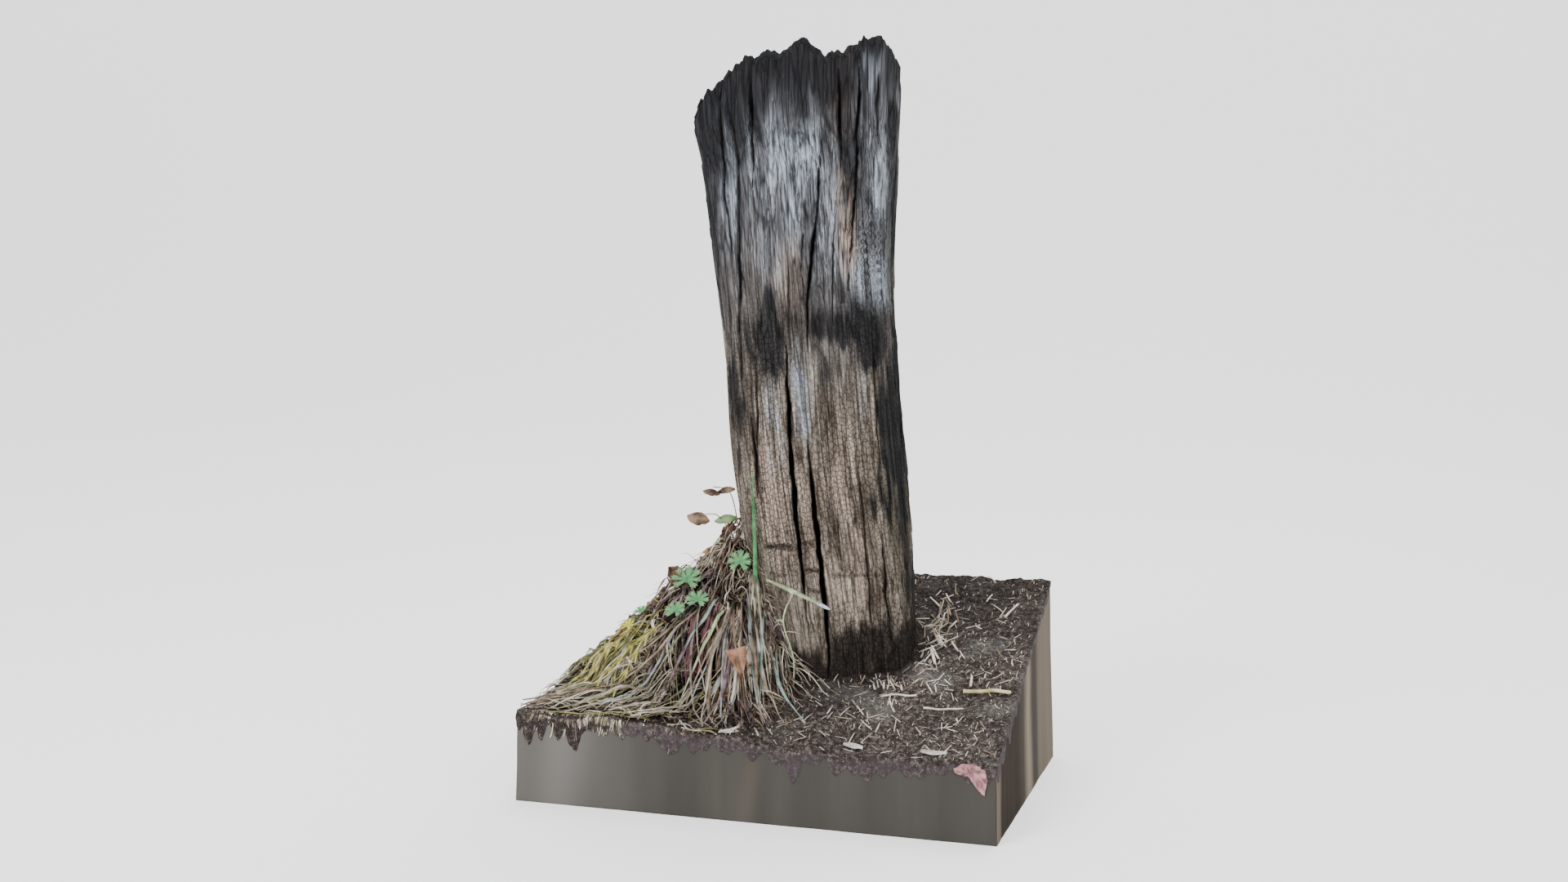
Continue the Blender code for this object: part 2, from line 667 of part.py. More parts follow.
def plate(name, outline, middle, along, face, thick, cup, group, grow=0.0):
    """A thin leaf: a fan of triangles about its middle, alike on both faces, in the outline's own shape."""
    face = Vector(face).normalized()
    across = Vector(along).cross(face).normalized()
    along = face.cross(across)
    reach = max(math.hypot(x, y) for x, y in outline)
    bm = bmesh.new()
    layers = []
    for side in (1, -1):
        lift = side * (thick / 2 + grow)
        centre = bm.verts.new(Vector(middle) + face * lift)
        ring = []
        for x, y in outline:
            swell = 1 + 2 * grow / reach
            bow = cup * (x * x + y * y) / reach
            ring.append(bm.verts.new(Vector(middle) + (across * x + along * y) * swell + face * (bow + lift)))
        layers.append((centre, ring))
    (top, upper), (under, lower) = layers
    count = len(outline)
    for i in range(count):
        k = (i + 1) % count
        bm.faces.new((top, upper[i], upper[k]))
        bm.faces.new((under, lower[k], lower[i]))
        bm.faces.new((upper[i], lower[i], lower[k]))
        bm.faces.new((upper[i], lower[k], upper[k]))
    return new_object(name, mesh_from(bm, name), group)


def cranesbill_outline(radius):
    """A round leaf cut deeply into seven lobes, each with three teeth."""
    lobes, gap = 7, math.radians(40)
    width = (2 * math.pi - gap) / lobes
    outline = []
    for lobe in range(lobes):
        middle = -math.pi / 2 + gap / 2 + width * (lobe + 0.5)
        cuts = ((-0.49, 0.42), (-0.40, 0.86), (-0.20, 0.84), (0.0, 1.0), (0.20, 0.84), (0.40, 0.86))
        for turn, reach in cuts:
            angle = middle + turn * width
            outline.append((radius * reach * math.cos(angle), radius * reach * math.sin(angle)))
    angle = -math.pi / 2 - gap / 2
    outline.append((radius * 0.36 * math.cos(angle), radius * 0.36 * math.sin(angle)))
    return outline


def oval_outline(half_length, half_width, points=10):
    """A blunt oval leaf."""
    outline = []
    for i in range(points):
        angle = 2 * math.pi * i / points
        outline.append((half_width * signed_power(math.cos(angle), 0.7), half_length * math.sin(angle)))
    return outline


def hanging_blade(group, grow, shape):
    path, bow, width = shape
    size = width, BLADE_THICK
    strand("blade", hanging(path, bow), size, group, TOWARDS_VIEWER, grow, BLADE_TIP)


def upright_blade(group, grow, shape):
    points, width = shape
    rooted = [in_thatch(points[0])] + [Vector(p) for p in points[1:]]
    strand("blade", settled(rooted), (width, BLADE_THICK), group, TOWARDS_VIEWER, grow, BLADE_TIP)


def stem(name, points, group, grow, width=STALK_WIDE):
    strand(name, [Vector(p) for p in points], (width, width), group, TOWARDS_VIEWER, grow)


def cranesbill(group, grow, leaf):
    middle, radius, face, root = leaf
    middle, root, face = Vector(middle), in_thatch(root), Vector(face).normalized()
    plate("leaf", cranesbill_outline(radius), middle, (0, 0.3, 1), face, LEAF_THICK, LEAF_CUP, group, grow)
    bend = (root + middle) / 2 + STALK_BEND
    stem("stalk", (root, bend, middle - face * LEAF_THICK / 2), group, grow)


def pale_stalk(group, grow, shape):
    (leaf, width), (branch, branch_width) = shape
    size = width, BLADE_THICK
    strand("leaf", [Vector(p) for p in leaf], size, group, TOWARDS_VIEWER, grow, PALE_TIP)
    stem("branch", branch, group, grow, branch_width)


def sprig(group, grow, shape):
    points, leaves, size = shape
    stem("stem", (in_thatch(points[0]), *points[1:]), group, grow)
    outline = oval_outline(size, size * 0.6)
    for i, leaf in enumerate(leaves):
        along = (-1, -0.2, 0.5 * i - 0.3)
        plate(f"leaf_{i}", outline, leaf, along, TOWARDS_VIEWER, DEAD_LEAF_THICK, -0.2, group, grow)


def dead_leaf(group, grow, leaf):
    middle, half_length, half_width, along, face, root = leaf
    outline = oval_outline(half_length, half_width)
    plate("leaf", outline, middle, along, face, DEAD_LEAF_THICK, 0.3, group, grow)
    stem("stalk", (in_thatch(root), Vector(middle)), group, grow)


def lying(group, grow, piece):
    """A straw or chip that lies pressed into the topsoil, along its surface."""
    start, end, size = piece
    points = [on_ground(Vector(start).lerp(Vector(end), k / 3)) for k in range(4)]
    strand("straw", points, size, group, UPWARDS, grow)


# Name, maker, material and shapes of the pieces that stand in the tussock or lie in the topsoil.
PLANTS = (
    ("cranesbill", cranesbill, "green_leaf", CRANESBILLS),
    ("yellow_cranesbill", cranesbill, "yellow_leaf", YELLOW_CRANESBILLS),
    ("green_blade", hanging_blade, "blue_green_blade", GREEN_BLADES),
    ("tall_blade", upright_blade, "green_leaf", TALL_BLADES),
    ("yellow_stem", hanging_blade, "yellow_stem", YELLOW_STEMS),
    ("red_stem", hanging_blade, "red_stem", RED_STEMS),
    ("pale_stalk", pale_stalk, "pale_stalk", PALE_STALKS),
    ("sprig", sprig, "dead_leaf", SPRIGS),
    ("dead_leaf", dead_leaf, "dead_leaf", DEAD_LEAVES),
    ("long_straw", lying, "straw", LONG_STRAWS),
    ("pale_chip", lying, "straw", CHIPS),
)


def main():
    for old in list(bpy.data.objects):
        bpy.data.objects.remove(old)
    rng = random.Random(SEED)
    parts = helper_group("tree_stump")
    finishes = {name: finish(name, colour, rough) for name, (colour, rough) in FINISHES.items()}

    base = slab("base_block", lambda x, y: soil_floor(x, y) - GAP, lambda x, y: 0.0, parts)
    soil = slab("topsoil", ground, soil_floor, parts)
    straws = helper_group("straws")
    for i in range(STRAW_COUNT):
        strand(f"straw_{i}", straw_points(rng), (STRAW_WIDTH, STRAW_WIDTH), straws, UPWARDS)
    apply_boolean(soil, straws, "UNION")

    stump = stump_solid("stump", parts)
    cracks = helper_group("cracks")
    for i, crack in enumerate(CRACKS):
        crack_cutter(f"crack_{i}", crack, cracks)
    apply_boolean(stump, cracks, "DIFFERENCE")

    tussock = thatch_core("tussock", parts)
    blades = helper_group("blades")
    for i in range(BLADE_COUNT):
        dry_blade(f"dry_blade_{i}", rng, blades)
    apply_boolean(tussock, blades, "UNION")

    holes = helper_group("holes")
    pieces = []
    for name, make, material, shapes in PLANTS:
        for number, shape in enumerate(shapes, 1):
            loose = helper_group(name + "_loose")
            make(loose, 0.0, shape)
            first = loose.objects[0]
            loose.objects.unlink(first)
            parts.objects.link(first)
            first.name = f"{name}_{number}"
            if loose.objects:
                apply_boolean(first, loose, "UNION")
            pieces.append((first, material))
            make(holes, PLANT_CLEARANCE, shape)
    for target in (soil, tussock):
        cutters = helper_group(target.name + "_cutters")
        for hole in holes.objects:
            new_object("hole", hole.data.copy(), cutters)
        stump_solid("socket", cutters, SOCKET_CLEARANCE)
        if target is tussock:
            slab("earth", lambda x, y: ground(x, y) + PLANT_CLEARANCE, lambda x, y: -0.001, cutters)
        apply_boolean(target, cutters, "DIFFERENCE")
    for hole in list(holes.objects):
        bpy.data.objects.remove(hole)
    socket = helper_group("socket")
    stump_solid("socket_cutter", socket, SOCKET_CLEARANCE)
    apply_boolean(base, socket, "DIFFERENCE")

    pieces += [(base, "subsoil"), (soil, "topsoil"), (stump, "weathered_wood"), (tussock, "dry_grass")]
    for piece, material in pieces:
        keep_largest(piece)
        piece.data.materials.clear()
        piece.data.materials.append(finishes[material])


main()
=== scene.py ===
"""A weathered tree stump in a cut block of earth, with a tussock of dry grass at its foot.

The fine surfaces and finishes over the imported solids. Metres, +Z up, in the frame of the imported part.
"""

import math
import random

import bpy
from mathutils import Matrix, Vector, noise


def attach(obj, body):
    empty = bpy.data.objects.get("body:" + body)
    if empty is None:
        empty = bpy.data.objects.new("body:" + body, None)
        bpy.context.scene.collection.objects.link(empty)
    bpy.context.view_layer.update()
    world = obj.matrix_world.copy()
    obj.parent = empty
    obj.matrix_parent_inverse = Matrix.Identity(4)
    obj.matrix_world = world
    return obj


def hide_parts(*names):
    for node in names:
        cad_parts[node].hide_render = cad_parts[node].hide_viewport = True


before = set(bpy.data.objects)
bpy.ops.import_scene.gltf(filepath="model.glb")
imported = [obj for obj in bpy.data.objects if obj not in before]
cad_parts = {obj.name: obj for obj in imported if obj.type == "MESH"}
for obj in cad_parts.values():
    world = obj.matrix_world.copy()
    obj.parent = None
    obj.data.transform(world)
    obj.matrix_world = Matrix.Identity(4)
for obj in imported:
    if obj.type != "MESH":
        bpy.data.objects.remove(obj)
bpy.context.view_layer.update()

# The block of earth and the lie of the ground, as in the solids.
BLOCK_X = 0.700
BLOCK_Y = 0.455
BATTER = 0.10
FIELD_FRONT = 0.108
FIELD_RISE = 0.166
BANK_FRONT = 0.130
BANK_RISE = 0.050
BANK_EDGE_X = -0.25
BANK_BLEND = 0.35
HUMP_AT = (-0.090, 0.010)
HUMP_SPREAD = (0.110, 0.120)
HUMP_HEIGHT = 0.085
FRINGE_DEPTH = 0.020
FRINGE_RAG = 0.018

# The stump's place, turn, squarish section, width, lean and broken rim, as in the solids.
STUMP_AT = (0.085, 0.030)
STUMP_TURN = math.radians(17.1)
SECTION_POWER = 2.8
DEPTH_SHARE = 0.84
HOLLOW = 0.034
HALF_WIDTH = (
    (0.05, 0.102),
    (0.20, 0.108),
    (0.33, 0.119),
    (0.48, 0.124),
    (0.64, 0.1235),
    (0.76, 0.128),
    (0.90, 0.1405),
    (0.97, 0.150),
    (1.10, 0.153),
)
LEAN = (
    (0.05, -0.014),
    (0.20, -0.019),
    (0.33, -0.035),
    (0.48, -0.0555),
    (0.64, -0.0685),
    (0.76, -0.078),
    (0.90, -0.0835),
    (0.97, -0.0895),
    (1.10, -0.090),
)
RIM_FRONT = (
    (-0.245, 0.945),
    (-0.229, 0.986),
    (-0.200, 1.016),
    (-0.160, 1.044),
    (-0.118, 1.054),
    (-0.085, 1.069),
    (-0.045, 1.052),
    (-0.010, 1.064),
    (0.028, 1.076),
    (0.052, 1.058),
    (0.070, 1.015),
)
RIM_BACK = (
    (-0.245, 0.950),
    (-0.200, 0.985),
    (-0.150, 1.010),
    (-0.090, 1.040),
    (-0.030, 1.066),
    (0.020, 1.050),
    (0.070, 1.005),
)
RIM_MIDDLE = 1.05

# Cracks: the side each faces in degrees, (place across it, height) down its length, width and depth.
# The first nine are in the solids, and the finer ones after them follow the grain.
CRACKS = (
    (0, ((-0.035, 0.655), (-0.036, 0.560), (-0.040, 0.460), (-0.044, 0.375), (-0.049, 0.255)), 0.0095, 0.036),
    (0, ((-0.014, 0.520), (-0.015, 0.445), (-0.017, 0.370), (-0.020, 0.270), (-0.025, 0.165)), 0.0095, 0.038),
    (0, ((0.032, 0.940), (0.021, 0.855), (0.010, 0.770), (-0.001, 0.700), (-0.006, 0.625)), 0.006, 0.016),
    (0, ((0.086, 1.100), (0.086, 1.000), (0.076, 0.900), (0.068, 0.800), (0.059, 0.715)), 0.0055, 0.018),
    (-62, ((-0.030, 1.000), (-0.022, 0.860), (-0.026, 0.700), (-0.018, 0.560)), 0.007, 0.024),
    (75, ((0.020, 1.080), (0.012, 0.900), (0.018, 0.700), (0.008, 0.480)), 0.008, 0.028),
    (180, ((-0.020, 1.080), (-0.014, 0.900), (-0.022, 0.700), (-0.028, 0.300)), 0.009, 0.034),
    (180, ((0.038, 0.900), (0.032, 0.760), (0.036, 0.600), (0.024, 0.420)), 0.007, 0.024),
    (150, ((-0.070, 0.820), (-0.064, 0.640), (-0.074, 0.440), (-0.068, 0.240)), 0.008, 0.030),
    (0, ((-0.104, 1.040), (-0.086, 0.947), (-0.090, 0.757), (-0.094, 0.695), (-0.103, 0.515)), 0.008, 0.010),
    (0, ((0.046, 0.860), (0.040, 0.760), (0.030, 0.640)), 0.004, 0.008),
    (0, ((-0.062, 1.050), (-0.060, 0.960), (-0.068, 0.860)), 0.005, 0.012),
    (0, ((0.058, 1.080), (0.060, 1.010), (0.056, 0.900)), 0.007, 0.016),
    (0, ((0.112, 1.080), (0.114, 1.000), (0.110, 0.930)), 0.006, 0.012),
    (0, ((-0.100, 1.040), (-0.104, 0.960), (-0.108, 0.860), (-0.098, 0.740)), 0.005, 0.010),
    (0, ((-0.078, 0.640), (-0.082, 0.560), (-0.090, 0.430)), 0.005, 0.010),
    (0, ((-0.092, 0.560), (-0.090, 0.490), (-0.094, 0.430)), 0.007, 0.014),
    (0, ((0.016, 0.620), (0.014, 0.480), (0.006, 0.330)), 0.004, 0.006),
    (0, ((0.056, 0.560), (0.052, 0.420), (0.044, 0.260), (0.040, 0.180)), 0.005, 0.009),
    (0, ((0.088, 0.700), (0.086, 0.560), (0.080, 0.420)), 0.004, 0.008),
    (0, ((0.076, 0.400), (0.070, 0.300), (0.070, 0.200)), 0.006, 0.012),
    (0, ((-0.020, 0.800), (-0.026, 0.720), (-0.030, 0.650)), 0.004, 0.007),
)
FINE_CRACKS = 64

# Notches across the grain: place across the broad face, height, half length and depth.
NOTCHES = (
    (-0.074, 0.363, 0.018, 0.0075),
    (-0.030, 0.369, 0.008, 0.0060),
    (-0.030, 0.330, 0.010, 0.0065),
    (-0.080, 0.322, 0.011, 0.0030),
    (-0.032, 0.300, 0.009, 0.0055),
    (0.030, 0.322, 0.036, 0.0032),
    (0.000, 0.943, 0.007, 0.0030),
)
WRINKLES_AT = (0.094, 0.775)

# Tones of the broad face: kind, place across, height, half width, half height and strength.
TONES = (
    ("silver", -0.014, 0.903, 0.056, 0.085, 1.00),
    ("silver", 0.030, 0.830, 0.034, 0.100, 0.60),
    ("silver", -0.098, 0.863, 0.014, 0.120, 0.80),
    ("silver", -0.050, 0.770, 0.030, 0.060, 0.45),
    ("silver", 0.108, 0.900, 0.019, 0.120, 0.72),
    ("silver", 0.097, 0.733, 0.027, 0.048, 1.00),
    ("silver", -0.018, 0.588, 0.016, 0.075, 0.85),
    ("silver", -0.059, 0.540, 0.018, 0.070, 0.55),
    ("tan", -0.030, 0.400, 0.010, 0.110, 0.80),
    ("silver", 0.100, 1.030, 0.018, 0.034, 0.62),
    ("silver", 0.106, 0.970, 0.020, 0.060, 0.50),
    ("silver", 0.082, 1.010, 0.008, 0.060, 0.48),
    ("silver", 0.070, 0.560, 0.016, 0.080, 0.35),
    ("char", -0.061, 0.663, 0.031, 0.062, 1.00),
    ("char", 0.058, 0.680, 0.060, 0.030, 1.05),
    ("char", 0.088, 0.672, 0.032, 0.050, 1.20),
    ("char", -0.112, 0.560, 0.018, 0.095, 0.70),
    ("char", 0.118, 0.520, 0.030, 0.130, 1.30),
    ("char", 0.114, 0.330, 0.016, 0.090, 0.80),
    ("char", -0.114, 0.985, 0.036, 0.075, 1.00),
    ("char", -0.128, 0.830, 0.012, 0.160, 0.75),
    ("char", 0.133, 0.870, 0.012, 0.140, 0.85),
    ("char", 0.066, 0.930, 0.014, 0.100, 0.85),
    ("char", -0.005, 0.970, 0.030, 0.050, 0.95),
    ("char", 0.000, 0.730, 0.034, 0.050, 0.50),
    ("char", 0.020, 0.620, 0.026, 0.060, 0.45),
    ("char", 0.062, 0.425, 0.018, 0.040, 0.45),
    ("tan", 0.060, 0.827, 0.016, 0.065, 1.00),
    ("tan", 0.060, 1.000, 0.024, 0.075, 0.50),
    ("tan", -0.072, 0.450, 0.038, 0.110, 0.75),
    ("tan", 0.030, 0.400, 0.060, 0.150, 0.45),
    ("tan", -0.024, 0.745, 0.026, 0.060, 0.45),
    ("moss", 0.106, 0.380, 0.024, 0.180, 0.80),
    ("moss", 0.066, 0.420, 0.010, 0.110, 0.40),
    ("moss", -0.105, 0.330, 0.020, 0.080, 0.60),
    ("moss", 0.126, 0.760, 0.014, 0.130, 0.55),
)

# The tussock's top in plan, and how far it reaches each way, as in the solids.
THATCH_AT = (-0.058, -0.030)
THATCH_RISE = 0.120
THATCH_ROUND = 1.7
THATCH_LEFT = 0.272
THATCH_RIGHT = 0.085
THATCH_FRONT = 0.165
THATCH_BACK = 0.190
TOWARDS_VIEWER = (0.2, -0.8, 0.55)


def smooth(t):
    """An even step from 0 to 1."""
    t = min(max(t, 0.0), 1.0)
    return t * t * (3 - 2 * t)


def value_at(points, x):
    """A smooth curve through (place, value) points."""
    if x <= points[0][0]:
        return points[0][1]
    if x >= points[-1][0]:
        return points[-1][1]
    i = 0
    while points[i + 1][0] <= x:
        i += 1
    (x0, y0), (x1, y1) = points[i], points[i + 1]
    before = points[max(i - 1, 0)]
    after = points[min(i + 2, len(points) - 1)]
    slope0 = (y1 - before[1]) / (x1 - before[0])
    slope1 = (after[1] - y0) / (after[0] - x0)
    h = x1 - x0
    t = (x - x0) / h
    return (
        (2 * t**3 - 3 * t**2 + 1) * y0
        + (t**3 - 2 * t**2 + t) * h * slope0
        + (3 * t**2 - 2 * t**3) * y1
        + (t**3 - t**2) * h * slope1
    )


def rough(x, y, z=0.0):
    """Smooth noise from -1 to 1."""
    return noise.noise(Vector((x, y, z)))


def ground(x, y):
    """Height of the topsoil's surface, as in the solids."""
    back = (y + BLOCK_Y / 2) / BLOCK_Y
    field = FIELD_FRONT + FIELD_RISE * back
    bank = BANK_FRONT + BANK_RISE * back**2
    share = smooth((x - BANK_EDGE_X) / BANK_BLEND)
    away = ((x - HUMP_AT[0]) / HUMP_SPREAD[0]) ** 2 + ((y - HUMP_AT[1]) / HUMP_SPREAD[1]) ** 2
    hump = HUMP_HEIGHT * math.exp(-away)
    return bank + (field - bank) * share + hump + 0.0050 * rough(x * 17, y * 17, 3.0) + 0.0030 * rough(x * 43, y * 43, 9.0)


def crumbs(x, y):
    """How far the loose crumbs of soil stand up: rounded clods about 9 mm across, with grit between them."""
    near = noise.voronoi(Vector((x / 0.0095, y / 0.0095, 0.0)))[0]
    clod = 0.0024 * smooth(1 - near[0] * 1.15) * (0.5 + 0.9 * abs(rough(x * 52, y * 52, 2.0)))
    grit = 0.0012 * rough(x * 210, y * 210, 4.0)
    return clod + grit + 0.0022 * rough(x * 75, y * 75, 6.0)


def thatch_distance(x, y):
    """How far out a place is in the tussock: 0 at its top and 1 at its edge."""
    dx, dy = x - THATCH_AT[0], y - THATCH_AT[1]
    reach_x = THATCH_LEFT if dx < 0 else THATCH_RIGHT
    reach_y = THATCH_FRONT if dy < 0 else THATCH_BACK
    return math.hypot(dx / reach_x, dy / reach_y)


def thatch_top(x, y):
    """Height of the matted grass, as in the solids."""
    out = thatch_distance(x, y)
    bearing = math.atan2(y - THATCH_AT[1], x - THATCH_AT[0])
    lumps = 0.009 * rough(x * 30, y * 30, 12.0)
    locks = 0.016 * min(out, 1.0) * rough(bearing * 4.2, out, 5.0)
    return ground(x, y) + THATCH_RISE * (1 - out**THATCH_ROUND) + lumps + locks


def thatch_place(bearing, share):
    """A place in plan, this way from the tussock's top and this share of the way out to its edge."""
    dx, dy = math.cos(bearing) * share, math.sin(bearing) * share
    reach_x = THATCH_LEFT if dx < 0 else THATCH_RIGHT
    reach_y = THATCH_FRONT if dy < 0 else THATCH_BACK
    return THATCH_AT[0] + dx * reach_x, THATCH_AT[1] + dy * reach_y


def clumps(x, y):
    """How the thatch gathers in clumps about 40 mm across, with hollows between them."""
    inside = smooth((1.0 - thatch_distance(x, y)) * 3.5)
    return inside * (0.012 * rough(x * 26, y * 26, 14.0) + 0.005 * rough(x * 60, y * 60, 3.0))


def covered(x, y):
    """Height of the grass, or of the bare ground where there is none."""
    return max(thatch_top(x, y) + clumps(x, y), ground(x, y)) if thatch_distance(x, y) < 1.3 else ground(x, y)


def stump_point(sideways, inward, z):
    """World place of a point beside the stump's axis, in the stump's own turned directions."""
    c, s = math.cos(STUMP_TURN), math.sin(STUMP_TURN)
    return Vector((STUMP_AT[0] + sideways * c - inward * s, STUMP_AT[1] + sideways * s + inward * c, z))


def beside_stump(x, y, z):
    """(sideways, inward) of a place from the stump's leaning middle, and its distance out: 1 is at the face."""
    c, s = math.cos(STUMP_TURN), math.sin(STUMP_TURN)
    dx, dy = x - STUMP_AT[0], y - STUMP_AT[1]
    u, v = dx * c + dy * s - value_at(LEAN, z), dy * c - dx * s
    half = value_at(HALF_WIDTH, z)
    wide, deep = abs(u) / half, abs(v) / (half * DEPTH_SHARE)
    return u, v, (wide**SECTION_POWER + deep**SECTION_POWER) ** (1 / SECTION_POWER)


def clear_of_stump(p, least=1.06):
    """Moves a point that is inside the stump, or very near it, out to its side."""
    u, v, share = beside_stump(*p)
    if share >= least or share == 0:
        return p
    return stump_point(value_at(LEAN, p.z) + u * least / share, v * least / share, p.z)


def within_block(p, margin=0.006):
    """Keeps a point inside the block's leaning sides."""
    lean_in = 1 - BATTER * max(p.z, 0)
    far_x, far_y = BLOCK_X / 2 * lean_in - margin, BLOCK_Y / 2 * lean_in - margin
    return Vector((min(max(p.x, -far_x), far_x), min(max(p.y, -far_y), far_y), p.z))


def signed_power(value, power):
    return math.copysign(abs(value) ** power, value)


def ridges(angle, z):
    """How far the weathered wood stands out of its smooth section, as in the solids."""
    x, y = math.cos(angle), math.sin(angle)
    broad = 0.0075 * rough(x * 1.7, y * 1.7, z * 1.3)
    flutes = 0.0050 * rough(x * 6.5, y * 6.5, z * 1.6 + 4)
    return broad + flutes + 0.0030 * rough(x * 15, y * 15, z * 2.2 + 8)


def stump_wall(angle, z):
    """(sideways, inward) of the stump's outside from its leaning middle."""
    half = value_at(HALF_WIDTH, z)
    stand = ridges(angle, z)
    u = (half + stand) * signed_power(math.cos(angle), 2 / SECTION_POWER)
    v = (half * DEPTH_SHARE + stand) * signed_power(math.sin(angle), 2 / SECTION_POWER)
    return u, v


def top_height(u, v):
    """Height of the broken top over a place in the section, before splinters and hollow."""
    back = smooth(0.5 + 0.5 * v / (value_at(HALF_WIDTH, 1.0) * DEPTH_SHARE))
    return value_at(RIM_FRONT, u) * (1 - back) + value_at(RIM_BACK, u) * back


def splinters(angle):
    """How far the rim's jagged edge stands up: the solid's broad teeth, and fine ones a few millimetres wide."""
    x, y = math.cos(angle), math.sin(angle)
    teeth = 0.008 * rough(x * 9, y * 9, 2.0) + 0.007 * rough(x * 21, y * 21, 6.0)
    fine = 0.0024 * rough(x * 48, y * 48, 3.0) + 0.0014 * rough(x * 110, y * 110, 8.0)
    return teeth + fine


# Finishes


def linear(code):
    """An sRGB hex colour as linear light."""
    values = [int(code[i : i + 2], 16) / 255 for i in (0, 2, 4)]
    return (*(v / 12.92 if v <= 0.04045 else ((v + 0.055) / 1.055) ** 2.4 for v in values), 1.0)


def add(tree, kind, inputs=None, stops=None, **settings):
    """Adds a node with its settings. Each input takes a value, or another node's output to link."""
    made = tree.nodes.new(kind)
    for name, value in settings.items():
        setattr(made, name, value)
    for key, value in (inputs or {}).items():
        if isinstance(value, bpy.types.NodeSocket):
            tree.links.new(value, made.inputs[key])
        else:
            made.inputs[key].default_value = value
    if stops:
        bands = made.color_ramp.elements
        while len(bands) < len(stops):
            bands.new(0.5)
        for band, (place, level) in zip(bands, stops):
            band.position = place
            band.color = level if isinstance(level, tuple) else (level, level, level, 1)
    return made


def finish(name, colour, roughness, specular=0.5):
    """A new material with these constant values on its shader, and its tree and shader for patterns."""
    made = bpy.data.materials.new(name)
    made.use_nodes = True
    shader = made.node_tree.nodes["Principled BSDF"]
    shader.inputs["Base Color"].default_value = linear(colour)
    shader.inputs["Roughness"].default_value = roughness
    shader.inputs["Specular IOR Level"].default_value = specular
    return made, made.node_tree, shader


